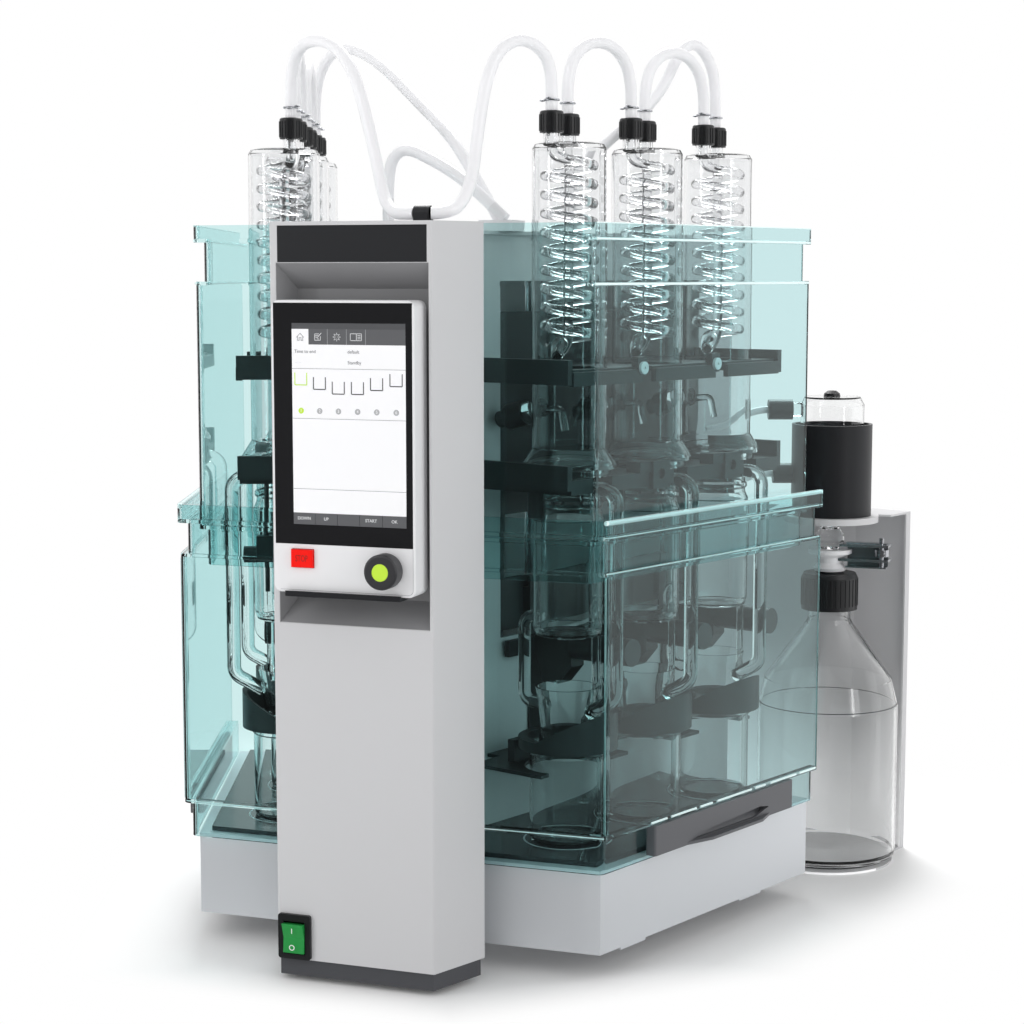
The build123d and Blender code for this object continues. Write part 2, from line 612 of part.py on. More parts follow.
def outer_tubes(u):
    foot, top = CHAMBER_Z
    joint = turned([(25, 219.7), (26.7, 219.7), (24, 202), (22, 184), (24, 174), (33, 171.5), (33, 168.2),
                    (22, 168.2),
                    (20, 176), (20, 184), (22, 202)])
    tubes = Pos(*wing(u, 0)) * joint
    tubes = tubes + bent([wing(u, 25, 386), wing(u, VAPOUR_OUT, 386), wing(u, VAPOUR_OUT, 214),
                          wing(u, 23, 200)],
                         VAPOUR_R, 12.0)
    tubes = tubes + bent([wing(u, -27.6, 275), wing(u, -RETURN_OUT, 275), wing(u, -RETURN_OUT, 202),
                          wing(u, -22.4, 202)], RETURN_R, 9.0)
    tubes = tubes + rod(*wing(u + 14.6, 17.8)[:2], 205.0, foot, 3.0)
    tubes = tubes - rod(*wing(u, 0)[:2], top + 1, SEAT_Z, NECK_R + GLASS_GAP)
    return tubes - rod(*wing(u, 0)[:2], foot - GLASS_GAP, top + 1, CHAMBER_R + GLASS_GAP)


write("extraction_chambers", both([chamber(u) for u in STATIONS]))
write("chamber_tubes", both([outer_tubes(u) for u in STATIONS]))

# Valves on their rail, and the level sensors clamped in front of the left chambers.
valves = [slab(10, 285, -76, -71, *RAIL_Z)]
for u in STATIONS:
    m = u + 0.5 * PITCH
    web = make_face(Polyline((0, 71, 250), (0, 31, 253), (0, 31, 225), (0, 45, 209), (0, 62, 209),
                             (0, 71, 236), close=True))
    web = on_wing(Pos(m, 0, 0) * extrude(web, 9.0, dir=(1, 0, 0), both=True))
    web = web + rod_between(wing(m, -33, 243), wing(m, 26, 243), 11.8)
    valves[0] = valves[0] + web
right_valves = valves[0]
sensors = []
for u in STATIONS:
    foot = slab(u - 44, u - 32, 8, 22, 318, 340) + rod(*wing(u - 37, 14)[:2], 292.0, MIDDLE_Z[0], 2.0)
    sensors.append(across(foot + rod_between(wing(u - 38, 22, 324), wing(u - 38, 33, 324), 7.0)))
write("valve_units", right_valves, across(right_valves), sensors)

# Beaker ring, shelf and the straps that carry them from the lift.
tray_side = slab(-10, 262, -78.4, 8, *SHELF_Z) + slab(-45, -10, -64, 8, *SHELF_Z)
for u in STATIONS:
    c = wing(u, 0)[:2]
    tray_side = tray_side - rod(*c, 140, 160, 35.5)
for u in STATIONS:
    c = wing(u, 0)[:2]
    crescent = pipe(*c, 169.0, 212.0, 41.0, 37.0)
    tilt = on_wing(Pos(u, -10, 184.0) * Rot(-29, 0, 0) * Pos(0, 0, 50) * Box(120, 160, 100))
    crescent = crescent - tilt
    crescent = crescent + pipe(*c, 169.0, 178.0, 41.0, 33.6)
    crescent = crescent - slab(u - 9, u + 9, -60, -20, 190, 220)
    tray_side = tray_side + crescent + slab(u - 22, u + 22, -46, -39, SHELF_Z[0], 172)
for u in STATIONS:
    m = min(u + 0.5 * PITCH, 250.0)
    tray_side = tray_side + slab(m - 9, m + 9, -78.4, -76, SHELF_Z[0], 300) + slab(m - 9, m + 9, -84, -76,
                                                                                   262, 290)
write("beaker_rings", both([tray_side]))

beaker = turned([(0, PLATE_TOP), (28, PLATE_TOP), (30.6, PLATE_TOP + 1), (BEAKER_R, PLATE_TOP + 4),
                 (BEAKER_R, 163),
                 (33, 164.5), (33, 167.8), (29.5, 167.8), (29.5, PLATE_TOP + 4.5), (27.5, PLATE_TOP + 2.2),
                 (0, PLATE_TOP + 2.2)])
write("beakers", at_stations(beaker, beaker))

# Shields: an L in plan, stepped in height, with rounded vertical corners.
def corner(v, front):
    a = math.radians(ROW)
    x, y, z = wing(0, v)
    t = (front - y) / math.sin(a)
    return (x + t * math.cos(a), front)


def ell(v0, front0, v1, front1, start, z0, z1):
    """Strip between the outer line (v0, front0) and the inner line (v1, front1)."""
    outer = corner(v0, front0)
    inside = corner(v1, front1)
    strip = plan([(start, front0), outer, wing(SHIELD_REAR, v0)[:2], wing(SHIELD_REAR, v1)[:2], inside,
                  (start, front1)], z0, z1)
    strip = fillet(upright(strip, *outer), 8.0)
    return fillet(upright(strip, *inside), 5.0)


def shield(bands, start):
    whole = None
    for z0, z1, v, front in bands:
        strip = ell(v, front, v - SHIELD, front + SHIELD, start, z0, z1)
        whole = strip if whole is None else whole + strip
    for low, high in zip(bands, bands[1:]):
        v0 = max(low[2], high[2])
        v1 = min(low[2], high[2]) - SHIELD
        f0 = min(low[3], high[3])
        f1 = max(low[3], high[3]) + SHIELD
        whole = whole + ell(v0, f0, v1, f1, start, low[1] - SHIELD / 2, low[1] + SHIELD / 2)
    return whole


upper_shield = shield(UPPER_BANDS, UPPER_INNER)
write("shield_upper_right", upper_shield)
write("shield_upper_left", across(upper_shield))
lower_shield = shield(LOWER_BANDS, LOWER_INNER)
runner = box(53.4, 70.0, COL_DEPTH + 8.0, COL_DEPTH + 11.2, 180.0, 300.0)
runner = runner + box(62.0, 70.0, COL_DEPTH + 11.2, COL_DEPTH + 14.8, 180.0, 300.0)
lower_shield = lower_shield + runner
write("shield_lower_right", lower_shield)
write("shield_lower_left", across(lower_shield))
grip = slab(2, 211, 79, 89, 89.5, 114.3)
grip = fillet(grip.edges().filter_by(Axis.Z), 2.0)
grip = grip - slab(45, 169, 81.0, 86.5, 88, 106)
scoop = make_face(Polyline((54, 0, 92.6), (150, 0, 92.6), (172, 0, 98.0), (158, 0, 100.5), (84, 0, 97.0),
                           close=True))
grip = grip - on_wing(Pos(0, -86.0, 0) * extrude(scoop, 5.0, dir=(0, -1, 0)))
lip = plan([(44.0, -88.0), (76.0, -96.0), (152.0, -96.0), (176.0, -88.0)], 89.5, 92.0)
grip = grip + on_wing(lip)
write("shield_handle_right", grip)
write("shield_handle_left", across(grip))
rails = box(UPPER_INNER + 2, UPPER_INNER + 5, COL_DEPTH, 77.0, 100.0, 560.0)
rails = rails + box(UPPER_INNER + 5, 60.0, COL_DEPTH + 5.0, COL_DEPTH + 7.6, 100.0, 560.0)
rails = rails + box(UPPER_INNER + 5, 60.0, COL_DEPTH + 11.6, COL_DEPTH + 14.0, 100.0, 560.0)
rails = rails + box(UPPER_INNER + 5, 60.0, COL_DEPTH + 5.0, COL_DEPTH + 14.0, 100.0, 103.0)
write("shield_rails", both([rails]))

# Tank: bottle on the bracket's floor, cap, adaptor, condenser in its sleeve.
tx, ty = TANK
bottle = turned([(0, -FOOT + 2.4), (62, -FOOT + 2.4), (67, 1), (BOTTLE_R, 5), (BOTTLE_R, 146), (64, 163),
                 (62, 171.7),
                 (23, 226), (21, 230), (21, 238.8), (18.6, 238.8), (18.6, 229), (20.4, 224), (59.5, 170.6),
                 (61.5, 162),
                 (65.6, 145), (65.6, 6), (61, 1.5), (0, 0.5)])
write("tank_bottle", Pos(tx, ty, 0) * bottle)
cap = turned([(0, 239.0), (27.5, 239.0), (27.5, 270.0), (25.5, 274.0), (14.0, 274.0), (14.0, 276.0),
              (0, 276.0)])
caps = [Pos(tx, ty, 0) * cap]
out = Vector(-0.943, -0.332, 0)


def tank_point(r, z):
    return (tx + out.X * r, ty + out.Y * r, z)


caps.append(rod_between(tank_point(38.9, 431), tank_point(62, 431), 9.6))
caps.append(rod_between(tank_point(38.9, 370), tank_point(57, 370), 9.6))
caps.append(Pos(tx, ty, 0) * turned([(0, 443.5), (8, 443.5), (7.4, 446.5), (4, 449), (0, 449.4)]))
write("tank_caps", caps)
neckpiece = turned([(0, 276.1), (15.5, 276.1), (16.5, 279), (12, 284), (13, 289), (21.5, 293), (21.5, 297),
                    (0, 297)])
write("tank_adaptor", Pos(tx, ty, 0) * neckpiece)
inner_glass = turned([(0, 297.1), (9, 297.1), (14, 304), (14, 310), (9, 318), (9, 334), (31, 334),
                      (31, 436), (27, 443.4),
                      (0, 443.4), (0, 441.4), (26, 441.4), (29, 435), (29, 336), (7, 336), (7, 318),
                      (0, 316)])
inner_glass = Pos(tx, ty, 0) * inner_glass
inner_glass = inner_glass + rod_between(tank_point(28, 431), tank_point(38.9, 431), 7.0)
write("tank_condenser", inner_glass)
sleeve = pipe(tx, ty, 330.0, 417.5, SLEEVE_R, SLEEVE_R - 3.0)
sleeve = sleeve + (rod(tx, ty, 330.0, 333.0, SLEEVE_R) - rod(tx, ty, 329, 334, 12.0))
write("tank_sleeve", sleeve)
BRACKET_LEFT = 207.5
BRACKET_BACK = 585.0
BRACKET_SHEET = 2.0
EDGE_V = 47.0
WALL_U = 72.5


def by_tank(v, u):
    """Plan point from the tank's axis: v out from the row, u back along it."""
    a = math.radians(ROW)
    return (tx + u * math.cos(a) + v * math.sin(a), ty + u * math.sin(a) - v * math.cos(a))


front = BRACKET_BACK - BRACKET_SHEET
inner = WALL_U - BRACKET_SHEET
wall_line = [(BRACKET_LEFT, front), (by_tank(-12.4, inner)[0], front), by_tank(EDGE_V, inner),
             by_tank(EDGE_V, WALL_U),
             (by_tank(-12.4, WALL_U)[0], BRACKET_BACK), (BRACKET_LEFT, BRACKET_BACK)]
lip_line = [by_tank(EDGE_V - BRACKET_SHEET, WALL_U - 8), by_tank(EDGE_V, WALL_U - 8),
            by_tank(EDGE_V, WALL_U - 1),
            by_tank(EDGE_V - BRACKET_SHEET, WALL_U - 1)]
plate_line = [(BRACKET_LEFT, 520.0), by_tank(EDGE_V, 34), by_tank(EDGE_V, WALL_U),
              (by_tank(-12.4, WALL_U)[0], BRACKET_BACK), (BRACKET_LEFT, BRACKET_BACK)]
bracket = plan(wall_line, -FOOT, 330.0) + plan(lip_line, -FOOT, 330.0)
bracket = bracket + plan(plate_line, -FOOT, -FOOT + BRACKET_SHEET) + rod(tx, ty - 6, -FOOT,
                                                                         -FOOT + BRACKET_SHEET, BOTTLE_R - 2)
top = plan(plate_line, 328.0, 330.0) + rod(tx, ty, 328.0, 330.0, 46.0)
rim = rod(tx, ty, 324.0, 330.0, 46.0) - rod(tx, ty, 323.0, 331.0, 44.5)
bracket = bracket + top + (rim - plan(plate_line, 323.0, 331.0))
bracket = bracket - rod(tx, ty, 320, 340, 15.0)
bracket = bracket + box(120.0, 208.0, BRACKET_BACK - BRACKET_SHEET, BRACKET_BACK, -FOOT, 330.0)
for z in (220.0, 310.0):
    bracket = bracket + rod_between((135, TOWER_REAR[1], z), (135, 583.5, z), 7.0)
write("tank_bracket", bracket)
fork = Pos(tx, ty, 0) * (box(-19, 58, -9, 9, 300.5, 303.0) - rod(0, 0, 290, 310, 14.4) - box(-30, 0, -14.4,
                                                                                             14.4, 290, 310))
jaw = Pos(tx, ty, 0) * (box(-19, 58, -9, 9, 286.5, 289.0) - rod(0, 0, 280, 295, 13.6) - box(-30, 0, -13.6,
                                                                                            13.6, 280, 295))
post = rod(tx + 50, ty, 280.0, 309.0, 2.5) + rod(tx + 50, ty, 291.5, 298.0, 7.0)
write("tank_clamp", fork + jaw + post)

# Water fittings: manifold and elbow on the lid, saddle clip on the column, stubs on the tower side.
LID_TOP = TOWER_TOP + LID


def unit(a, b):
    d = Vector(*b) - Vector(*a)
    return d.normalized()


def over(z, points):
    """Points whose heights count from z."""
    return [(x, y, z + h) for x, y, h in points]


STUB_HIGH = 28.6
ELBOW_HIGH = 20.6
LEFT_END = over(LID_TOP, [(-1.5, 232.5, 76.1), (19.2, 217.7, 51.1), (37.0, 204.9, 28.6), (46.5, 198.1, 16.6)])
JUMP = over(LID_TOP, [(49.5, 184.0, 20.6), (34.0, 184.5, 34.6), (14.0, 186.0, 49.1), (-9.0, 188.0, 61.6),
                      (-30.0, 190.0, 70.6), (-43.5, 191.5, 63.6), (-47.5, 192.0, 46.1),
                      (-48.0, 192.0, STUB_HIGH)])
manifold = box(40.0, 70.0, 176.0, 208.0, LID_TOP, LID_TOP + 9.0)
n6 = Vector(*LEFT_END[-1])
d6 = unit(LEFT_END[-2], LEFT_END[-1])
n7 = Vector(*JUMP[0])
d7 = unit(JUMP[1], JUMP[0])
manifold = manifold + rod_between(tuple(n6), tuple(n6 + d6 * 14), 4.9)
manifold = manifold + rod_between(tuple(n7), tuple(n7 + d7 * 16), 4.9)
fittings = [manifold, rod(-48, 192, LID_TOP, LID_TOP + STUB_HIGH, HOSE / 2) + rod(-48, 192, LID_TOP,
                                                                                  LID_TOP + 7, 8.0)]
ELBOW = (102.0, 253.5)
fittings.append(rod(*ELBOW, LID_TOP, LID_TOP + ELBOW_HIGH, HOSE / 2) + rod(*ELBOW, LID_TOP, LID_TOP + 7, 8.0))
TANK_PORTS = [((159.6, 471.2, 412.0), (166.0, 473.6, 413.0)), ((159.6, 471.2, 356.0), (166.0, 473.6, 356.6))]
for a, b in TANK_PORTS:
    fittings.append(rod_between(a, b, 3.4))
write("water_fittings", fittings)
CLIP_Z = COL_TOP + 6.0
saddle = rod_between((43.5, 27, CLIP_Z), (56.5, 27, CLIP_Z), 5.9) + box(44, 56, 21.1, 32.9, COL_TOP, CLIP_Z)
saddle = saddle - rod_between((40, 27, CLIP_Z), (60, 27, CLIP_Z), HOSE / 2)
write("hose_clip", saddle)


# Hoses, each from sleeve to sleeve or to its fitting.
def arch(a, b, points):
    """Route over the straight line a-b in plan, from (distance, height) pairs."""
    d = math.hypot(b[0] - a[0], b[1] - a[1])
    return [(a[0] + (b[0] - a[0]) * h / d, a[1] + (b[1] - a[1]) * h / d, z) for h, z in points]


def port(side, index, which):
    x, y, z = wing(STATIONS[index], 0)
    deg = PORTS[which]
    if side < 0:
        deg = deg + LEFT_TURN
        x = -x
    p = ring_point(CAP_RING, deg, 0)
    return (x + p[0], y + p[1])


# Right ports: 0 is the front one, 1 the rear one; on the left the two change places.
R1, R2 = port(1, 0, 0), port(1, 0, 1)
L1, L2 = port(-1, 0, 1), port(-1, 0, 0)
ROUTES = {}
first = arch(L1, (50.0, 25.0), [(0, SLEEVE_TOP), (0, 727), (14, 746), (38, 751), (72, 744), (101, 720),
                                (119, 684)])
ROUTES["hose_left_front"] = first + [(-2.0, 60.0, 646.0), (9.0, 48.0, 617.0), (22.0, 36.0, 606.5),
                                     (35.0, 29.0, 606.0),
                                     (43.4, 27.0, 606.0)]
ROUTES["hose_right_front"] = [(56.6, 27.0, 606.0), (66.0, 30.0, 606.0), (75.5, 40.5, 611.5),
                              (79.5, 54.5, 631.0),
                              (79.0, 66.0, 658.0), (80.5, 73.5, 688.0), (84.2, 80.0, 716.0),
                              (90.4, 89.8, 735.0),
                              (100.8, 106.5, 744.6), (112.2, 124.7, 738.5), (R1[0], R1[1], 722.0),
                              (R1[0], R1[1], SLEEVE_TOP)]
for index, name in ((0, "hose_right_one"), (1, "hose_right_two")):
    a, b = port(1, index, 1), port(1, index + 1, 0)
    d = math.hypot(b[0] - a[0], b[1] - a[1])
    k = d * 0.293
    ROUTES[name] = arch(a, b, [(0, SLEEVE_TOP), (0, 728), (k, 728 + k), (d - k, 728 + k), (d, 728),
                               (d, SLEEVE_TOP)])
for index, name in ((0, "hose_left_one"), (1, "hose_left_two")):
    a, b = port(-1, index, 0), port(-1, index + 1, 1)
    d = math.hypot(b[0] - a[0], b[1] - a[1])
    k = d * 0.293
    ROUTES[name] = arch(a, b, [(0, SLEEVE_TOP), (0, 728), (k, 728 + k), (d - k, 728 + k), (d, 728),
                               (d, SLEEVE_TOP)])
R6 = port(1, 2, 1)
ROUTES["hose_right_return"] = arch(R6, ELBOW, [(0, SLEEVE_TOP), (0, 730), (9, 752), (26, 764), (43, 751),
                                               (57, 724),
                                               (80, 700), (108, 681), (132, 663), (147, 640), (150.5, 616.0)])
ROUTES["hose_right_return"][-1] = (ELBOW[0], ELBOW[1], LID_TOP + ELBOW_HIGH)
ROUTES["hose_right_return"][-2] = (ELBOW[0], ELBOW[1], LID_TOP + ELBOW_HIGH + 20.0)
L6 = port(-1, 2, 0)
ROUTES["hose_left_return"] = arch(L6, (55.0, 192.0),
                                  [(0, SLEEVE_TOP), (0, 733), (17, 758), (46, 770), (86, 763),
                                                      (130, 743), (178, 713), (216, 690)]) + LEFT_END
ROUTES["hose_jumper"] = JUMP
for name, points in ROUTES.items():
    write(name, tube_path(points, HOSE / 2, name))
THIN = 3.4
a = tank_point(62, 431)
ROUTES_THIN = {"hose_tank_upper": [a, tank_point(76, 430), tank_point(92, 421), (176.5, 477.5, 414.5),
                                   (166.0, 473.6, 413.0)]}
a = tank_point(57, 370)
ROUTES_THIN["hose_tank_lower"] = [a, tank_point(72, 369.5), tank_point(90, 362), (177.5, 478.2, 357.6),
                                  (166.0, 473.6, 356.6)]
for name, points in ROUTES_THIN.items():
    write(name, tube_path(points, THIN, name))
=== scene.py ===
import bpy
import math
from mathutils import Matrix, Vector


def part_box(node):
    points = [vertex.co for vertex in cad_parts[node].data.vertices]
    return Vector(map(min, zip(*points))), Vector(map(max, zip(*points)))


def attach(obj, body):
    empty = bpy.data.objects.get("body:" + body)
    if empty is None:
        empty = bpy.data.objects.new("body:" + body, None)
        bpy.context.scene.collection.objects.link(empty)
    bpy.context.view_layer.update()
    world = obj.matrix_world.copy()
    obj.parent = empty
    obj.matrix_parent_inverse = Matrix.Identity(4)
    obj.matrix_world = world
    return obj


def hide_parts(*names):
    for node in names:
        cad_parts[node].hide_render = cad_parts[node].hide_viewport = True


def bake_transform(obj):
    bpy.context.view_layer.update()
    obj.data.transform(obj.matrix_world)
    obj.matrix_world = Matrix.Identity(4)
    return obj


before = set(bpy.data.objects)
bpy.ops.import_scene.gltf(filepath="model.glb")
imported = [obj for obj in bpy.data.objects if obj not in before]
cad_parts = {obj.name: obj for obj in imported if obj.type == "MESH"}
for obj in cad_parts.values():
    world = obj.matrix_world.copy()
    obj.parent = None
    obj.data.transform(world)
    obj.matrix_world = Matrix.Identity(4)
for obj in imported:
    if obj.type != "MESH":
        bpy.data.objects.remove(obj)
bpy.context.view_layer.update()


# Camera: a long lens a little above the bench, to the right of the front.
# Places below are millimetres from the foot of the column's front face; at() turns them
# into metres in the frame, whose origin is the middle of the footprint.
MIDDLE = (23.763, 276.5)
FOOT = 5.0
MM = 1000.0


def at(x, y, z):
    return Vector(((x - MIDDLE[0]) / MM, (y - MIDDLE[1]) / MM, (z + FOOT) / MM))


eye = bpy.data.cameras.new("eye")
eye.lens = 74.14
eye.sensor_width = 36.0
eye.sensor_fit = "HORIZONTAL"
eye.clip_end = 50
camera = bpy.data.objects.new("camera", eye)
forward = Vector((-0.3304, 0.9372, -0.1122)).normalized()
right = Vector((0.9431, 0.3324, 0.0)).normalized()
turn = Matrix((right, right.cross(forward), -forward)).transposed()
camera.matrix_world = Matrix.Translation(at(656.93, -1489.83, 559.83)) @ turn.to_4x4()
bpy.context.scene.collection.objects.link(camera)
bpy.context.scene.camera = camera
bpy.context.scene.view_settings.view_transform = "Standard"


# Cooling-water hoses: soft translucent silicone, 9.8 mm across, pushed on short nipples.
# Four jump from one condenser to the next, two come down to the clip on the column, two go
# back to the lid and one lies across it; two thin ones feed the tank.
def tone(r, g, b):
    """Linear colour from a screen colour."""
    return tuple(c / 255 / 12.92 if c < 11 else ((c / 255 + 0.055) / 1.055) ** 2.4
                 for c in (r, g, b)) + (1.0,)


def finish(name, color, rough=0.5, metal=0.0):
    """A new material and its Principled node."""
    m = bpy.data.materials.new(name)
    m.use_nodes = True
    p = m.node_tree.nodes["Principled BSDF"]
    p.inputs["Base Color"].default_value = color
    p.inputs["Roughness"].default_value = rough
    p.inputs["Metallic"].default_value = metal
    return m, p


def grain_group():
    """Fine grain in object space: a height and a roughness that vary over the surface."""
    g = bpy.data.node_groups.new("fine grain", "ShaderNodeTree")
    for name, value in (("Scale", 900.0), ("Stretch", 1.0), ("Low", 0.4), ("High", 0.5)):
        s = g.interface.new_socket(name, in_out="INPUT", socket_type="NodeSocketFloat")
        s.default_value = value
    g.interface.new_socket("Height", in_out="OUTPUT", socket_type="NodeSocketFloat")
    g.interface.new_socket("Roughness", in_out="OUTPUT", socket_type="NodeSocketFloat")
    n, k = g.nodes, g.links
    gi, go = n.new("NodeGroupInput"), n.new("NodeGroupOutput")
    tc, join = n.new("ShaderNodeTexCoord"), n.new("ShaderNodeCombineXYZ")
    mul, noise = n.new("ShaderNodeVectorMath"), n.new("ShaderNodeTexNoise")
    wide, span = n.new("ShaderNodeTexNoise"), n.new("ShaderNodeMapRange")
    mul.operation = "MULTIPLY"
    join.inputs[0].default_value = 1.0
    join.inputs[1].default_value = 1.0
    k.new(gi.outputs["Stretch"], join.inputs[2])
    k.new(tc.outputs["Object"], mul.inputs[0])
    k.new(join.outputs[0], mul.inputs[1])
    k.new(mul.outputs[0], noise.inputs["Vector"])
    k.new(gi.outputs["Scale"], noise.inputs["Scale"])
    k.new(tc.outputs["Object"], wide.inputs["Vector"])
    wide.inputs["Scale"].default_value = 14.0
    wide.inputs["Detail"].default_value = 4.0
    k.new(wide.outputs["Fac"], span.inputs["Value"])
    k.new(gi.outputs["Low"], span.inputs["To Min"])
    k.new(gi.outputs["High"], span.inputs["To Max"])
    k.new(noise.outputs["Fac"], go.inputs["Height"])
    k.new(span.outputs["Result"], go.inputs["Roughness"])
    return g


fine_grain = grain_group()


def grain(m, p, scale=900.0, stretch=1.0, low=0.4, high=0.5, depth=0.00003, strength=0.25):
    """Lay the fine grain on a material."""
    n, k = m.node_tree.nodes, m.node_tree.links
    g = n.new("ShaderNodeGroup")
    g.node_tree = fine_grain
    for name, value in (("Scale", scale), ("Stretch", stretch), ("Low", low), ("High", high)):
        g.inputs[name].default_value = value
    b = n.new("ShaderNodeBump")
    b.inputs["Distance"].default_value = depth
    b.inputs["Strength"].default_value = strength
    k.new(g.outputs["Height"], b.inputs["Height"])
    k.new(b.outputs["Normal"], p.inputs["Normal"])
    k.new(g.outputs["Roughness"], p.inputs["Roughness"])
    return m


silicone, p = finish("silicone hose with painted glow", tone(245, 245, 248), 0.28)
# Painted glow: a faint white emission brightens the hoses.
p.inputs["Emission Color"].default_value = (1.0, 1.0, 1.0, 1.0)
p.inputs["Emission Strength"].default_value = 0.035
p.inputs["Subsurface Weight"].default_value = 0.25
p.inputs["Subsurface Radius"].default_value = (0.004, 0.004, 0.004)
p.inputs["Coat Weight"].default_value = 0.25
grain(silicone, p, 300.0, 1.0, 0.24, 0.34, 0.0, 0.0)


def hose(name, points, radius, body, far=None):
    """One hose on a smooth line that rides the body; given far, it is made a plain mesh that stays in place
    and rides no body.
    """
    c = bpy.data.curves.new(name, "CURVE")
    c.dimensions = "3D"
    c.resolution_u = 24
    s = c.splines.new("NURBS")
    s.points.add(len(points) - 1)
    for spot, q in zip(s.points, points):
        spot.co = (*at(*q), 1.0)
    s.order_u = 3
    s.use_endpoint_u = True
    o = bpy.data.objects.new(name, c)
    bpy.context.scene.collection.objects.link(o)
    bpy.context.view_layer.update()
    line = bpy.data.meshes.new_from_object(o.evaluated_get(bpy.context.evaluated_depsgraph_get()))
    c.bevel_depth = radius / MM
    c.bevel_resolution = 7
    c.use_fill_caps = True
    if far:
        bpy.context.view_layer.update()
        tube = bpy.data.meshes.new_from_object(o.evaluated_get(bpy.context.evaluated_depsgraph_get()))
        bpy.data.objects.remove(o)
        o = bpy.data.objects.new(name, tube)
        bpy.context.scene.collection.objects.link(o)
        for f in tube.polygons:
            f.use_smooth = True
    o.data.materials.clear()
    o.data.materials.append(silicone)
    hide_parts(name)
    if far:
        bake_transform(o)
    else:
        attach(o, body)
    return o


ROW_TURN = math.radians(69.934)
FIRST_STATION = (127.1, 152.6)
PITCH = 107.1
PORT_OUT = 20.5
PORT_TURNS = (244.0, 112.0)
LEFT_TURN = 158.5


def row_point(side, u, v, z):
    """A point of a wing: u back along the row, v out from it."""
    along, out = math.cos(ROW_TURN), math.sin(ROW_TURN)
    return (side * (FIRST_STATION[0] + u * along + v * out), FIRST_STATION[1] + u * out - v * along, z)


def port(side, index, which):
    """Plan place of a hose port: on the right 0 is the front one, on the left the rear one."""
    x, y, z = row_point(side, PITCH * index, 0, 0)
    turned = math.radians(PORT_TURNS[which] - (LEFT_TURN if side < 0 else 0.0))
    return (x + PORT_OUT * math.cos(turned), y + PORT_OUT * math.sin(turned))


def arch(a, b, points):
    """Points in the upright plane through two plan places: distance from the first, and height."""
    d = math.hypot(b[0] - a[0], b[1] - a[1])
    return [(a[0] + (b[0] - a[0]) * h / d, a[1] + (b[1] - a[1]) * h / d, z) for h, z in points]


NIPPLE = 704
BEND = 728
OCTAGON = 0.293
HOSE_R = 4.9
TANK_HOSE_R = 3.4


def jump(a, b):
    """A short hose between neighbours: up, half an octagon across, down."""
    d = math.hypot(b[0] - a[0], b[1] - a[1])
    k = d * OCTAGON
    return arch(a, b, [(0, NIPPLE), (0, BEND), (k, BEND + k), (d - k, BEND + k), (d, BEND), (d, NIPPLE)])


L1, R1 = port(-1, 0, 1), port(1, 0, 0)
left_front = arch(L1, (50.0, 25.0), [(0, 704), (0, 727), (14, 746), (38, 751), (72, 744), (101, 720),
                                     (119, 684)])
left_front += [(-2.0, 60.0, 646.0), (9.0, 48.0, 617.0), (22.0, 36.0, 606.5), (35.0, 29.0, 606.0),
               (43.4, 27.0, 606.0)]
right_front = [(56.6, 27.0, 606.0), (66.0, 30.0, 606.0), (75.5, 40.5, 611.5), (79.5, 54.5, 631.0),
               (79.0, 66.0, 658.0), (80.5, 73.5, 688.0), (84.2, 80.0, 716.0), (90.4, 89.8, 735.0),
               (100.8, 106.5, 744.6), (112.2, 124.7, 738.5), (R1[0], R1[1], 722.0), (R1[0], R1[1], 704.0)]
hose("hose_left_front", left_front, HOSE_R, "glass_rack", "main")
hose("hose_right_front", right_front, HOSE_R, "main", "glass_rack")
hose("hose_right_one", jump(port(1, 0, 1), port(1, 1, 0)), HOSE_R, "glass_rack")
hose("hose_right_two", jump(port(1, 1, 1), port(1, 2, 0)), HOSE_R, "glass_rack")
hose("hose_left_one", jump(port(-1, 0, 0), port(-1, 1, 1)), HOSE_R, "glass_rack")
hose("hose_left_two", jump(port(-1, 1, 0), port(-1, 2, 1)), HOSE_R, "glass_rack")
back_right = arch(port(1, 2, 1), (102.0, 253.5), [(0, 704), (0, 730), (9, 752), (26, 764), (43, 751),
                                                  (57, 724), (80, 700), (108, 681), (132, 663)])
hose("hose_right_return", back_right + [(102.0, 253.5, 636.0), (102.0, 253.5, 616.0)], HOSE_R, "glass_rack",
     "main")
back_left = arch(port(-1, 2, 0), (55.0, 192.0), [(0, 704), (0, 733), (17, 758), (46, 770), (86, 763),
                                                 (130, 743), (178, 713), (216, 690)])
back_left += [(-1.5, 232.5, 671.5), (19.2, 217.7, 646.5), (37.0, 204.9, 624.0), (46.5, 198.1, 612.0)]
hose("hose_left_return", back_left, HOSE_R, "glass_rack", "main")
hose("hose_jumper", [(49.5, 184.0, 616.0), (34.0, 184.5, 630.0), (14.0, 186.0, 644.5), (-9.0, 188.0, 657.0),
                     (-30.0, 190.0, 666.0), (-43.5, 191.5, 659.0), (-47.5, 192.0, 641.5),
                     (-48.0, 192.0, 624.0)],
     HOSE_R, "main")


TANK = (275.5, 512.0)
TO_TOWER = (-0.943, -0.332)


def tank_side(r, z):
    """A point at radius r from the tank's axis, on the side towards the tower."""
    return (TANK[0] + TO_TOWER[0] * r, TANK[1] + TO_TOWER[1] * r, z)


hose("hose_tank_upper", [tank_side(62, 431), tank_side(76, 430), tank_side(92, 421), (176.5, 477.5, 414.5),
                         (166.0, 473.6, 413.0)], TANK_HOSE_R, "main")
hose("hose_tank_lower", [tank_side(57, 370), tank_side(72, 369.5), tank_side(90, 362),
                         (177.5, 478.2, 357.6), (166.0, 473.6, 356.6)], TANK_HOSE_R, "main")


def paint(node, m):
    """Give a CAD node its material."""
    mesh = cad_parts[node].data
    if len(mesh.materials) == 0:
        mesh.materials.append(m)
    for i in range(len(mesh.materials)):
        mesh.materials[i] = m


paint("hose_sleeves", silicone)


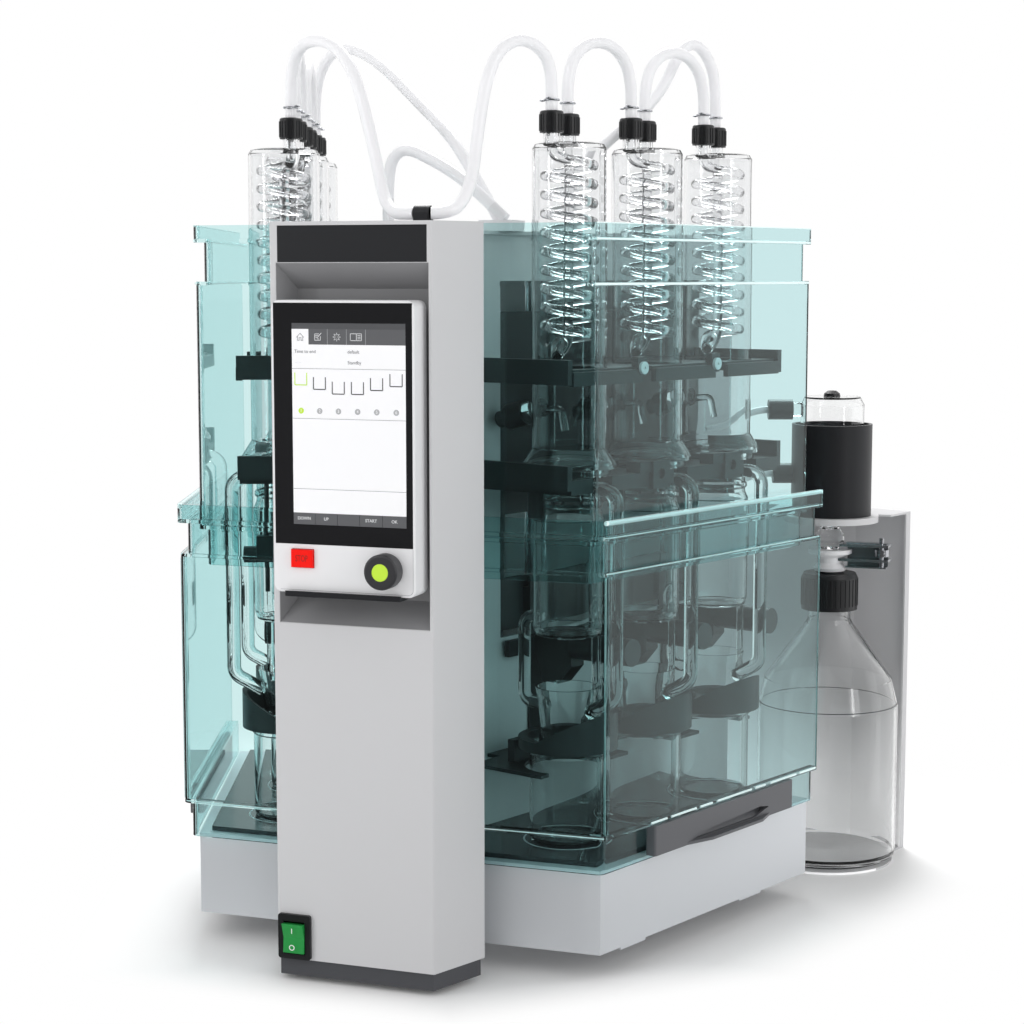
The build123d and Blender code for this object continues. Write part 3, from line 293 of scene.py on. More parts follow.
# Studio: a pale floor under an even white surround. The broad main lamp hangs behind and
# above, so the soft shadow falls towards the camera; two weak ones fill from the front.
# A little way out from the object the eye sees the floor plain white; it lights nothing there.
# Mirrored in glass, the room in front of the object is dim and the rest of it is white.
FRONT_GLOW = 0.1


def floor():
    m = bpy.data.meshes.new("floor")
    m.from_pydata([(-40, -40, 0), (40, -40, 0), (40, 40, 0), (-40, 40, 0)], [], [(0, 1, 2, 3)])
    o = bpy.data.objects.new("floor", m)
    bpy.context.scene.collection.objects.link(o)
    chalk, p = finish("chalk floor", (0.93, 0.93, 0.93, 1.0), 0.6)
    p.inputs["Specular IOR Level"].default_value = 0.15
    p.inputs["Emission Color"].default_value = (1, 1, 1, 1)
    p.inputs["Emission Strength"].default_value = 0.05
    n, k = chalk.node_tree.nodes, chalk.node_tree.links

    def larger(a, b):
        pick = n.new("ShaderNodeMath")
        pick.operation = "MAXIMUM"
        k.new(a, pick.inputs[0])
        k.new(b, pick.inputs[1])
        return pick.outputs[0]

    where = n.new("ShaderNodeTexCoord")
    open_floor = None
    # Each way is a direction on the floor, with the distances where the plain white begins and is full.
    for way, near, far in (((0.939, -0.343), 0.232, 0.338), ((-0.939, -0.343), 0.235, 0.365),
                           ((0.9, -1.0), 0.3, 0.41),
                           ((0.0, -1.0), 0.26, 0.335), ((0.0, 1.0), 0.35, 0.6)):
        dot, fade = n.new("ShaderNodeVectorMath"), n.new("ShaderNodeMapRange")
        dot.operation = "DOT_PRODUCT"
        dot.inputs[1].default_value = (*way, 0.0)
        fade.interpolation_type = "SMOOTHSTEP"
        fade.inputs["From Min"].default_value = near
        fade.inputs["From Max"].default_value = far
        k.new(where.outputs["Object"], dot.inputs[0])
        k.new(dot.outputs["Value"], fade.inputs["Value"])
        open_floor = larger(open_floor, fade.outputs["Result"]) if open_floor else fade.outputs["Result"]
    ray, both = n.new("ShaderNodeLightPath"), n.new("ShaderNodeMath")
    both.operation = "MULTIPLY"
    k.new(open_floor, both.inputs[0])
    eyes = larger(ray.outputs["Is Camera Ray"], ray.outputs["Is Transmission Ray"])
    k.new(larger(eyes, ray.outputs["Is Glossy Ray"]), both.inputs[1])
    plain, mix = n.new("ShaderNodeEmission"), n.new("ShaderNodeMixShader")
    apart, front = n.new("ShaderNodeSeparateXYZ"), n.new("ShaderNodeMapRange")
    level = n.new("ShaderNodeMath")
    front.interpolation_type = "SMOOTHSTEP"
    for name, value in (("From Min", -0.25), ("From Max", 0.2), ("To Min", FRONT_GLOW - 1.0),
                        ("To Max", 0.0)):
        front.inputs[name].default_value = value
    level.operation = "MULTIPLY_ADD"
    level.inputs[2].default_value = 1.0
    k.new(where.outputs["Object"], apart.inputs[0])
    k.new(apart.outputs["Y"], front.inputs["Value"])
    k.new(front.outputs["Result"], level.inputs[0])
    k.new(ray.outputs["Is Glossy Ray"], level.inputs[1])
    k.new(level.outputs[0], plain.inputs["Strength"])
    k.new(both.outputs[0], mix.inputs["Fac"])
    k.new(p.outputs["BSDF"], mix.inputs[1])
    k.new(plain.outputs["Emission"], mix.inputs[2])
    k.new(mix.outputs[0], n["Material Output"].inputs["Surface"])
    m.materials.append(chalk)


floor()
world = bpy.data.worlds.new("surround")
bpy.context.scene.world = world
world.use_nodes = True
wn, wl = world.node_tree.nodes, world.node_tree.links
wn.clear()
room, end = wn.new("ShaderNodeBackground"), wn.new("ShaderNodeOutputWorld")
ray, where = wn.new("ShaderNodeLightPath"), wn.new("ShaderNodeTexCoord")
apart = wn.new("ShaderNodeSeparateXYZ")
front, mirrored, direct = wn.new("ShaderNodeMapRange"), wn.new("ShaderNodeMix"), wn.new("ShaderNodeMix")
eyes = wn.new("ShaderNodeMath")
eyes.operation = "MAXIMUM"
front.interpolation_type = "SMOOTHSTEP"
for name, value in (("From Min", -0.7), ("From Max", -0.15), ("To Min", FRONT_GLOW), ("To Max", 1.0)):
    front.inputs[name].default_value = value
wl.new(where.outputs["Generated"], apart.inputs[0])
wl.new(apart.outputs["Y"], front.inputs["Value"])
mirrored.inputs["A"].default_value = 0.65
wl.new(ray.outputs["Is Glossy Ray"], mirrored.inputs["Factor"])
wl.new(front.outputs["Result"], mirrored.inputs["B"])
wl.new(ray.outputs["Is Camera Ray"], eyes.inputs[0])
wl.new(ray.outputs["Is Transmission Ray"], eyes.inputs[1])
wl.new(eyes.outputs[0], direct.inputs["Factor"])
wl.new(mirrored.outputs["Result"], direct.inputs["A"])
direct.inputs["B"].default_value = 1.0
room.inputs["Color"].default_value = (1.0, 1.0, 1.0, 1.0)
wl.new(direct.outputs["Result"], room.inputs["Strength"])
wl.new(room.outputs[0], end.inputs["Surface"])


def lamp(name, place, aim, size, power, tall=None):
    """A round area lamp, or with tall an upright strip."""
    d = bpy.data.lights.new(name, "AREA")
    d.shape = "RECTANGLE" if tall else "DISK"
    d.size = size
    if tall:
        d.size_y = tall
    d.energy = power
    o = bpy.data.objects.new(name, d)
    o.location = place
    o.rotation_euler = (Vector(aim) - Vector(place)).to_track_quat("-Z", "Y").to_euler()
    bpy.context.scene.collection.objects.link(o)


lamp("main lamp", (-0.7, 2.6, 3.3), (0, 0, 0.2), 2.0, 110)
lamp("front lamp", (-1.8, -2.8, 2.2), (0, 0, 0.3), 1.8, 15)
lamp("side lamp", (3.0, -1.4, 1.6), (0, 0, 0.3), 1.8, 13)
lamp("left strip", (-1.5, -1.5, 0.7), (0, 0, 0.7), 0.16, 5, 1.3)
lamp("right strip", (2.2, -1.1, 0.7), (0, 0, 0.7), 0.16, 3, 1.3)


# Column and tower: folded sheet under a light grey powder coat, with a slight orange peel.
# Inside the column's recessed pocket the coat is painted a darker grey: painted shade in the recess.
powder, p = finish("light grey powder coat", tone(206, 206, 208), 0.5)
grain(powder, p, 700.0, 1.0, 0.42, 0.55, 0.00004, 0.2)
for name in ("tower_housing", "tower_lid", "tower_rear_panel"):
    paint(name, powder)
pocket_painted_shade, p = finish("powder coat with painted pocket shade", tone(206, 206, 208), 0.5)
grain(pocket_painted_shade, p, 700.0, 1.0, 0.42, 0.55, 0.00004, 0.2)


def inside_mask(m, low, high):
    """1 inside a box of the object's own space, given by its two corners."""
    n, k = m.node_tree.nodes, m.node_tree.links
    where, apart = n.new("ShaderNodeTexCoord"), n.new("ShaderNodeSeparateXYZ")
    k.new(where.outputs["Object"], apart.inputs[0])
    found = None
    for i in range(3):
        for edge, sign in ((low[i], "GREATER_THAN"), (high[i], "LESS_THAN")):
            test = n.new("ShaderNodeMath")
            test.operation = sign
            test.inputs[1].default_value = edge
            k.new(apart.outputs[i], test.inputs[0])
            if found is None:
                found = test
            else:
                both = n.new("ShaderNodeMath")
                both.operation = "MULTIPLY"
                k.new(found.outputs[0], both.inputs[0])
                k.new(test.outputs[0], both.inputs[1])
                found = both
    return found.outputs[0]


def two_tone(m, p, mask, first, second):
    """Base colour from the first to the second where the mask is 1."""
    n, k = m.node_tree.nodes, m.node_tree.links
    mix = n.new("ShaderNodeMix")
    mix.data_type = "RGBA"
    mix.inputs["A"].default_value = first
    mix.inputs["B"].default_value = second
    k.new(mask, mix.inputs["Factor"])
    k.new(mix.outputs["Result"], p.inputs["Base Color"])


# Painted shade: inside the pocket the base colour turns a darker grey.
two_tone(pocket_painted_shade, p, inside_mask(pocket_painted_shade, at(-66.8, 0.6, 286.8), at(66.8, 23.0, 568.9)),
         tone(206, 206, 208), tone(140, 140, 142))
paint("control_column", pocket_painted_shade)
dark, p = finish("dark grey moulding", tone(38, 39, 42), 0.45)
p.inputs["Specular IOR Level"].default_value = 0.3
grain(dark, p, 800.0, 1.0, 0.36, 0.48, 0.00003, 0.2)
for name in ("panel_tray", "tank_sleeve", "hose_clip"):
    paint(name, dark)
trims, p = finish("header and plinth moulding", tone(40, 41, 44), 0.45)
p.inputs["Specular IOR Level"].default_value = 0.3
grain(trims, p, 800.0, 1.0, 0.36, 0.48, 0.00003, 0.2)
two_tone(trims, p, inside_mask(trims, at(-100, -30, -6), at(100, 80, 100)), tone(40, 41, 44),
         tone(78, 79, 83))
paint("column_trims", trims)

# Panel: off-white moulded housing, black cover glass, lit page with tabs, six beaker signs
# and soft keys, red stop key and a turning knob with a lime cap.
moulded, p = finish("off-white moulding with painted glow", tone(230, 230, 232), 0.35)
# Painted glow: a faint white emission brightens the housing.
p.inputs["Emission Color"].default_value = (1.0, 1.0, 1.0, 1.0)
p.inputs["Emission Strength"].default_value = 0.05
grain(moulded, p, 1000.0, 1.0, 0.3, 0.42, 0.00002, 0.15)
paint("panel_housing", moulded)
cover, p = finish("black cover glass", tone(30, 30, 32), 0.14)
grain(cover, p, 60.0, 1.0, 0.1, 0.16, 0.000005, 0.02)
paint("display_glass", cover)
paint("knob_shaft", powder)
knob_black, p = finish("knob black", tone(56, 56, 59), 0.4)
grain(knob_black, p, 900.0, 1.0, 0.34, 0.46, 0.00002, 0.15)
paint("selector_knob", knob_black)
red, p = finish("stop red", tone(252, 14, 0), 0.4)
p.inputs["Specular IOR Level"].default_value = 0.2
grain(red, p, 900.0, 1.0, 0.38, 0.46, 0.00001, 0.1)
paint("stop_button", red)


def lit(name, color, strength=0.05):
    """Colour that glows a little, with a faint pixel grain."""
    m, p = finish(name, color, 0.4)
    p.inputs["Emission Color"].default_value = color
    p.inputs["Emission Strength"].default_value = strength
    return grain(m, p, 2500.0, 1.0, 0.36, 0.44, 0.000002, 0.05)


page = lit("page white", tone(244, 244, 246), 0.1)
bar_grey = lit("bar grey", tone(96, 97, 100))
strip_grey = lit("strip grey", tone(84, 85, 88))
ink = lit("page ink", tone(112, 113, 117))
dark_ink = lit("sign ink", tone(62, 63, 66))
lime = lit("lime", tone(192, 230, 60), 0.1)
pale_ink = lit("pale ink", tone(225, 226, 228))
mid_ink = lit("mid grey ink", tone(158, 159, 162))
dot_ink = lit("dot grey ink", tone(178, 179, 181))
key_ink, p = finish("stop lettering", tone(150, 20, 10), 0.5)
grain(key_ink, p, 900.0, 1.0, 0.45, 0.55, 0.000002, 0.05)
GLASS_FRONT = -16.9


def piece(name, verts, faces, m, body):
    """A mesh in millimetre places that rides a body."""
    mesh = bpy.data.meshes.new(name)
    mesh.from_pydata([tuple(at(*v)) for v in verts], [], faces)
    mesh.materials.append(m)
    o = bpy.data.objects.new(name, mesh)
    bpy.context.scene.collection.objects.link(o)
    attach(o, body)
    return o


def plates(name, rects, m, lift, body="main"):
    """Thin printed rectangles on the cover glass: (x0, x1, z0, z1) each."""
    verts, faces = [], []
    for x0, x1, z0, z1 in rects:
        k = len(verts)
        y0, y1 = GLASS_FRONT, GLASS_FRONT - lift
        verts += [(x, y, z) for y in (y0, y1) for x, z in ((x0, z0), (x1, z0), (x1, z1), (x0, z1))]
        faces += [(k + 4, k + 5, k + 6, k + 7), (k + 3, k + 2, k + 1, k), (k, k + 1, k + 5, k + 4),
                  (k + 1, k + 2, k + 6, k + 5), (k + 2, k + 3, k + 7, k + 6), (k + 3, k, k + 4, k + 7)]
    return piece(name, verts, faces, m, body)


def words(name, text, x, z, size, m, align="LEFT", y=GLASS_FRONT - 0.16, body="main",
          bold=0.0):
    c = bpy.data.curves.new(name, "FONT")
    c.body = text
    c.size = size / MM
    c.align_x = align
    c.align_y = "CENTER"
    c.extrude = 0.02 / MM
    c.offset = bold / MM
    c.materials.append(m)
    o = bpy.data.objects.new(name, c)
    o.location = at(x, y, z)
    o.rotation_euler = (math.pi / 2, 0, 0)
    bpy.context.scene.collection.objects.link(o)
    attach(o, body)
    return o


plates("display_page", [(-41.3, 52.8, 376.6, 518.0)], page, 0.06)
plates("display_strip", [(-41.3, 52.8, 518.0, 522.5)], strip_grey, 0.06)
plates("display_tabs", [(-27.2, -11.5, 506.2, 518.0), (-11.3, 4.3, 506.2, 518.0), (4.5, 20.1, 506.2, 518.0),
                        (20.3, 52.8, 506.2, 518.0)], bar_grey, 0.1)
plates("display_tab_lines", [(-11.6, -11.2, 506.2, 518.0), (4.2, 4.6, 506.2, 518.0),
                             (20.0, 20.4, 506.2, 518.0)],
       mid_ink, 0.12)
plates("display_keys", [(-41.3, -23.3, 367.6, 376.6), (-23.0, -4.6, 367.6, 376.6),
                        (-4.3, 14.0, 367.6, 376.6),
                        (14.3, 33.0, 367.6, 376.6), (33.3, 52.8, 367.6, 376.6)], bar_grey, 0.1)
plates("display_rules", [(-41.3, 52.8, 487.6, 487.9), (-41.3, 52.8, 449.3, 449.6),
                         (-41.3, 52.8, 395.0, 395.3)], ink, 0.1)
SIGN_X = (-34.0, -18.4, -2.7, 13.2, 29.0, 45.0)
SIGN_Z = (474.8, 471.6, 468.3, 468.3, 471.6, 474.8)


def cups(name, which, m):
    """Beaker signs: two sides and a floor each."""
    rects = []
    for i in which:
        x, z = SIGN_X[i], SIGN_Z[i]
        rects += [(x - 5.4, x - 4.6, z + 0.5, z + 9.8), (x + 4.6, x + 5.4, z + 0.5, z + 9.8),
                  (x - 4.9, x + 4.9, z, z + 0.8)]
    plates(name, rects, m, 0.1)


cups("display_cup_active", (0,), lime)
cups("display_cups", (1, 2, 3, 4, 5), dark_ink)


def disc(name, spots, r, m, y, body="main", depth=0.05, steps=40):
    """Round plates that face the front, at (x, z) places."""
    verts, faces = [], []
    for x, z in spots:
        k = len(verts)
        for yy in (y, y - depth):
            verts += [(x + r * math.cos(2 * math.pi * i / steps), yy,
                       z + r * math.sin(2 * math.pi * i / steps))
                      for i in range(steps)]
        faces += [tuple(k + steps + i for i in range(steps)), tuple(k + i for i in reversed(range(steps)))]
        faces += [(k + i, k + (i + 1) % steps, k + steps + (i + 1) % steps, k + steps + i)
                  for i in range(steps)]
    return piece(name, verts, faces, m, body)


disc("display_dot_active", [(SIGN_X[0], 455.4)], 2.3, lime, GLASS_FRONT - 0.05)
disc("display_dots", [(x, 455.4) for x in SIGN_X[1:]], 2.3, dot_ink, GLASS_FRONT - 0.05)
for i, x in enumerate(SIGN_X):
    words("display_number_%d" % (i + 1), str(i + 1), x, 455.4, 3.4, page, "CENTER")


def strokes(name, lines, width, m, x=0.0, z=0.0, lift=0.2, y=GLASS_FRONT):
    """Drawn lines in the panel's plane: each a run of (x, z) points."""
    verts, faces = [], []
    for run in lines:
        for a, b in zip(run, run[1:]):
            long = Vector((b[0] - a[0], b[1] - a[1]))
            along = long.normalized() * width / 2
            out = Vector((-along.y, along.x))
            corners = [Vector(a) - along + out, Vector(a) - along - out, Vector(b) + along - out,
                       Vector(b) + along + out]
            k = len(verts)
            verts += [(x + c.x, yy, z + c.y) for yy in (y, y - lift) for c in corners]
            faces += [(k + 4, k + 5, k + 6, k + 7), (k + 3, k + 2, k + 1, k), (k, k + 1, k + 5, k + 4),
                      (k + 1, k + 2, k + 6, k + 5), (k + 2, k + 3, k + 7, k + 6), (k + 3, k, k + 4, k + 7)]
    return piece(name, verts, faces, m, "main")


def around(r, start, stop, steps):
    """Points on an arc about the origin, angles in degrees."""
    return [(r * math.cos(math.radians(start + (stop - start) * i / steps)),
             r * math.sin(math.radians(start + (stop - start) * i / steps))) for i in range(steps + 1)]


# The page's icons: a house, a sheet with a pen, a toothed wheel and an open book.
house = [[(-3.0, -0.4), (0.0, 2.6), (3.0, -0.4)],
         [(-2.2, 0.2), (-2.2, -2.8), (-0.8, -2.8), (-0.8, -0.8), (0.8, -0.8), (0.8, -2.8), (2.2, -2.8),
          (2.2, 0.2)]]
sheet = [[(0.8, 2.2), (-2.6, 2.2), (-2.6, -2.6), (2.2, -2.6), (2.2, 0.2)], [(-0.6, -0.8), (2.8, 2.8)],
         [(-1.8, 1.0), (0.2, 1.0)], [(-1.8, -0.2), (-0.8, -0.2)], [(-0.4, -1.6), (0.8, -1.6)]]
wheel = [around(2.0, 0, 360, 16), around(0.9, 0, 360, 12)]
wheel += [[(2.0 * math.cos(t), 2.0 * math.sin(t)), (3.0 * math.cos(t), 3.0 * math.sin(t))]
          for t in (math.pi * i / 4 for i in range(8))]
pages = [[(-4.6, -2.6), (-4.6, 2.6), (4.6, 2.6), (4.6, -2.6), (-4.6, -2.6)], [(0.4, -2.6), (0.4, 2.6)],
         [(1.6, 1.2), (3.6, 1.2)], [(1.6, 0.0), (3.6, 0.0)], [(1.6, -1.2), (3.6, -1.2)]]
strokes("display_icon_home", house, 0.45, mid_ink, -34.2, 512.1)
strokes("display_icon_edit", sheet, 0.45, pale_ink, -19.4, 512.1)
strokes("display_icon_settings", wheel, 0.45, pale_ink, -3.6, 512.1)
strokes("display_icon_methods", pages, 0.45, pale_ink, 12.3, 512.1)
# A hair-thin seam runs round the lower right of the housing's front, where the shells meet.
seam_ink, p = finish("seam shade", tone(150, 150, 154), 0.6)
grain(seam_ink, p, 900.0, 1.0, 0.5, 0.6, 0.000005, 0.1)
seam = [(58.1, 351.5), (58.1, 320.2)] + [(54.1 + a, 320.2 + b) for a, b in around(4.0, 0, -90, 6)][1:]
strokes("housing_seam", [seam + [(-53.0, 316.2)]], 0.25, seam_ink, lift=0.05, y=-17.0)
words("display_text_time", "Time to end", -39.2, 500.8, 3.6, ink)
words("display_text_dashes", "--:--", -38.8, 492.6, 3.6, pale_ink)
words("display_text_method", "default", 5.2, 500.8, 3.6, ink)
words("display_text_state", "Standby", 5.2, 492.6, 3.6, ink)
for x, text in ((-32.3, "DOWN"), (-13.8, "UP"), (23.7, "START"), (43.0, "OK")):
    words("display_key_" + text.lower(), text, x, 372.2, 3.3, pale_ink, "CENTER", bold=0.05)
mark = words("stop_lettering", "STOP", -33.8, 341.0, 7.0, key_ink, "CENTER", y=-20.06, body="stop_key")
mark.scale.x = 0.62
# The knob's cap shares the screen's lime, so it glows a little: a painted glow.
disc("knob_cap", [(36.8, 334.8)], 6.7, lime, -31.3, body="knob", depth=0.55)

# Mains switch: black frame with a green rocker marked I and O.
black, p = finish("satin black plastic", tone(30, 31, 33), 0.38)
grain(black, p, 900.0, 1.0, 0.32, 0.46, 0.0, 0.0)
for name in ("switch_frame", "power_inlet", "condenser_caps", "valve_units", "tank_caps"):
    paint(name, black)
green, p = finish("rocker green", tone(36, 152, 70), 0.35)
grain(green, p, 900.0, 1.0, 0.3, 0.4, 0.00001, 0.1)
paint("power_rocker", green)
rubber, p = finish("foot rubber", tone(28, 28, 29), 0.8)
grain(rubber, p, 500.0, 1.0, 0.7, 0.85, 0.00005, 0.3)
paint("rubber_feet", rubber)
board, p = finish("circuit board", tone(30, 70, 50), 0.5)
grain(board, p, 1200.0, 1.0, 0.4, 0.6, 0.00002, 0.2)
paint("control_board", board)

# Base: brushed stainless tray, grain running up and down, under black glass heating plates.
brushed, p = finish("brushed stainless", tone(214, 217, 221), 0.4, 0.25)
grain(brushed, p, 2600.0, 0.02, 0.3, 0.42, 0.00003, 0.35)
paint("base_housing", brushed)
hotplate, p = finish("heating plate glass", tone(40, 42, 45), 0.16)
grain(hotplate, p, 80.0, 1.0, 0.12, 0.2, 0.0, 0.0)
paint("heating_plates", hotplate)
steel, p = finish("bright steel", tone(190, 192, 196), 0.22, 1.0)
grain(steel, p, 1400.0, 0.1, 0.16, 0.28, 0.00001, 0.15)
for name in ("heater_elements", "lift_column", "hose_clamps", "tank_clamp"):
    paint(name, steel)

# Tank bracket: folded sheet in the same powder coat, and the steel arm of the neck clamp. On the bracket's
# inner face, light from the bench towards its foot is painted in.
bracket_coat_painted_light, p = finish("bracket powder coat with painted bench light", tone(222, 222, 224), 0.5)
grain(bracket_coat_painted_light, p, 700.0, 1.0, 0.42, 0.55, 0.00004, 0.2)
# Painted light: on the inner face the base colour grows paler and a white glow rises towards the foot,
# standing in for light from the bench.
n, k = bracket_coat_painted_light.node_tree.nodes, bracket_coat_painted_light.node_tree.links
where, apart = n.new("ShaderNodeTexCoord"), n.new("ShaderNodeSeparateXYZ")
face, turned = n.new("ShaderNodeNewGeometry"), n.new("ShaderNodeSeparateXYZ")
low, inner, painted_bench_light = n.new("ShaderNodeMapRange"), n.new("ShaderNodeMath"), n.new("ShaderNodeMath")
low.interpolation_type = "SMOOTHSTEP"
for name, value in (("From Min", 0.0), ("From Max", 0.22), ("To Min", 1.0), ("To Max", 0.0)):
    low.inputs[name].default_value = value
inner.operation = "LESS_THAN"
inner.inputs[1].default_value = -0.5
painted_bench_light.operation = "MULTIPLY"
k.new(where.outputs["Object"], apart.inputs[0])
k.new(apart.outputs["Z"], low.inputs["Value"])
k.new(face.outputs["Normal"], turned.inputs[0])
k.new(turned.outputs["Y"], inner.inputs[0])
k.new(low.outputs["Result"], painted_bench_light.inputs[0])
k.new(inner.outputs[0], painted_bench_light.inputs[1])
two_tone(bracket_coat_painted_light, p, painted_bench_light.outputs[0], tone(206, 206, 208), tone(250, 250, 251))
painted_bench_glow = n.new("ShaderNodeMix")
painted_bench_glow.data_type = "RGBA"
painted_bench_glow.inputs["A"].default_value = (0.0, 0.0, 0.0, 1.0)
painted_bench_glow.inputs["B"].default_value = (1.0, 1.0, 1.0, 1.0)
k.new(painted_bench_light.outputs[0], painted_bench_glow.inputs["Factor"])
k.new(painted_bench_glow.outputs["Result"], p.inputs["Emission Color"])
p.inputs["Emission Strength"].default_value = 0.26
paint("tank_bracket", bracket_coat_painted_light)


arm_steel, p = finish("dull steel", tone(120, 126, 128), 0.35, 0.7)
grain(arm_steel, p, 1400.0, 0.1, 0.3, 0.4, 0.0, 0.0)


def block(name, x0, x1, y0, y1, z0, z1, m, body):
    """A plain box."""
    verts = [(x, y, z) for z in (z0, z1) for x, y in ((x0, y0), (x1, y0), (x1, y1), (x0, y1))]
    faces = [(3, 2, 1, 0), (4, 5, 6, 7), (0, 1, 5, 4), (1, 2, 6, 5), (2, 3, 7, 6), (3, 0, 4, 7)]
    return piece(name, verts, faces, m, body)


block("clamp_arm_web", 292.0, 331.0, 518.0, 519.2, 280.0, 304.0, arm_steel, "main")
block("clamp_arm_foot", 292.0, 331.0, 506.0, 518.0, 280.0, 281.4, steel, "main")
block("clamp_arm_head", 292.0, 331.0, 510.0, 518.0, 302.6, 304.0, steel, "main")

# Glassware: clear borosilicate, drawn tube with fused joints.
def clear(name, color, rough, ior, shade):
    """Clear material whose shadow stays light."""
    m, p = finish(name, color, rough)
    p.inputs["Transmission Weight"].default_value = 1.0
    p.inputs["IOR"].default_value = ior
    n, k = m.node_tree.nodes, m.node_tree.links
    path, thin = n.new("ShaderNodeLightPath"), n.new("ShaderNodeBsdfTransparent")
    blend = n.new("ShaderNodeMixShader")
    thin.inputs["Color"].default_value = shade
    k.new(path.outputs["Is Shadow Ray"], blend.inputs["Fac"])
    k.new(p.outputs["BSDF"], blend.inputs[1])
    k.new(thin.outputs["BSDF"], blend.inputs[2])
    k.new(blend.outputs[0], n["Material Output"].inputs["Surface"])
    return m


boro = clear("clear borosilicate", (0.985, 0.99, 0.99, 1.0), 0.0, 1.47, (0.93, 0.94, 0.94, 1.0))
for name in ("extraction_chambers", "chamber_tubes", "beakers", "tank_bottle", "tank_condenser"):
    paint(name, boro)
drawn = clear("drawn condenser glass", (0.925, 0.93, 0.935, 1.0), 0.0, 1.47, (0.9, 0.91, 0.91, 1.0))
for name in ("condenser_jackets", "condenser_coils"):
    paint(name, drawn)
teal = clear("teal polymer sheet with painted face sheen", (0.585, 0.805, 0.81, 1.0), 0.0, 1.36, (0.88, 0.95, 0.95, 1.0))
# The panels that face the room in front are painted paler and given a weaker reflection than the long side
# panels: painted sheen on one and the same sheet.
n, k = teal.node_tree.nodes, teal.node_tree.links
face, apart, flat = n.new("ShaderNodeNewGeometry"), n.new("ShaderNodeSeparateXYZ"), n.new("ShaderNodeMath")
front, painted_sheen_level = n.new("ShaderNodeMapRange"), n.new("ShaderNodeMath")
flat.operation = "ABSOLUTE"
painted_sheen_level.operation = "MULTIPLY_ADD"
painted_sheen_level.inputs[1].default_value = -0.2
painted_sheen_level.inputs[2].default_value = 0.25
front.inputs["From Min"].default_value = 0.7
front.inputs["From Max"].default_value = 0.95
k.new(face.outputs["Normal"], apart.inputs[0])
k.new(apart.outputs["Y"], flat.inputs[0])
k.new(flat.outputs[0], front.inputs["Value"])
k.new(front.outputs["Result"], painted_sheen_level.inputs[0])
n["Principled BSDF"].inputs["Specular IOR Level"].default_value = 0.25
k.new(painted_sheen_level.outputs[0], n["Principled BSDF"].inputs["Specular IOR Level"])
two_tone(teal, n["Principled BSDF"], front.outputs["Result"], (0.57, 0.795, 0.805, 1.0),
         (0.65, 0.875, 0.872, 1.0))
for name in ("shield_upper_left", "shield_upper_right", "shield_lower_left", "shield_lower_right"):
    paint(name, teal)
arms, p = finish("black coated steel", tone(34, 38, 40), 0.45)
grain(arms, p, 700.0, 1.0, 0.4, 0.5, 0.0, 0.0)
for name in ("lift_carriage", "rack_holders", "beaker_rings", "shield_rails"):
    paint(name, arms)
white, p = finish("white fitting", tone(236, 236, 238), 0.3)
grain(white, p, 900.0, 1.0, 0.26, 0.36, 0.00001, 0.1)
for name in ("water_fittings", "holder_knobs", "tank_adaptor"):
    paint(name, white)
grip, p = finish("mid grey grip", tone(92, 93, 97), 0.45)
grain(grip, p, 900.0, 1.0, 0.4, 0.5, 0.00003, 0.2)
for name in ("shield_handle_left", "shield_handle_right"):
    paint(name, grip)

# Details that the eye picks out: ribs round the black screw caps, the printed ring round each beaker, I and
# O on the rocker. Painted highlights lie along the edges of the teal sheets, and a painted dark line runs
# round the bottle's shoulder.
def ribs(name, spots, r, z0, z1, count, m, body):
    """Upright ribs round caps standing at plan places."""
    verts, faces = [], []
    for x, y in spots:
        for i in range(count):
            a = 2 * math.pi * i / count
            c, t = Vector((math.cos(a), math.sin(a))), Vector((-math.sin(a), math.cos(a)))
            w = math.pi * r / count * 0.5
            k = len(verts)
            for z in (z0, z1):
                for out, side in ((-0.3, -w), (0.55, -w * 0.7), (0.55, w * 0.7), (-0.3, w)):
                    q = Vector((x, y)) + c * (r + out) + t * side
                    verts.append((q.x, q.y, z))
            faces += [(k + j, k + (j + 1) % 4, k + 4 + (j + 1) % 4, k + 4 + j) for j in range(4)]
            faces += [(k + 3, k + 2, k + 1, k), (k + 4, k + 5, k + 6, k + 7)]
    return piece(name, verts, faces, m, body)


ports = [port(side, i, w) for side in (1, -1) for i in range(3) for w in (0, 1)]
ribs("hose_cap_ribs", ports, 9.6, 673.5, 686.5, 22, black, "glass_rack")
ribs("bottle_cap_ribs", [TANK], 27.5, 243.0, 269.0, 34, black, "main")
printed, p = finish("printed ring", tone(205, 208, 210), 0.5)
grain(printed, p, 900.0, 1.0, 0.45, 0.55, 0.000005, 0.1)


def ring(name, spots, inner, outer, z0, z1, m, body, steps=72):
    """Flat rings that lie level, at plan places."""
    verts, faces = [], []
    for x, y in spots:
        k = len(verts)
        for z in (z0, z1):
            for rr in (inner, outer):
                verts += [(x + rr * math.cos(2 * math.pi * i / steps),
                           y + rr * math.sin(2 * math.pi * i / steps), z)
                          for i in range(steps)]
        s = steps
        for i in range(s):
            j = (i + 1) % s
            faces += [(k + 2 * s + i, k + 3 * s + i, k + 3 * s + j, k + 2 * s + j),
                      (k + i, k + j, k + s + j, k + s + i),
                      (k + i, k + 2 * s + i, k + 2 * s + j, k + j),
                      (k + s + i, k + s + j, k + 3 * s + j, k + 3 * s + i)]
    return piece(name, verts, faces, m, body)


stations = [row_point(side, PITCH * i, 0, 0)[:2] for side in (1, -1) for i in range(3)]
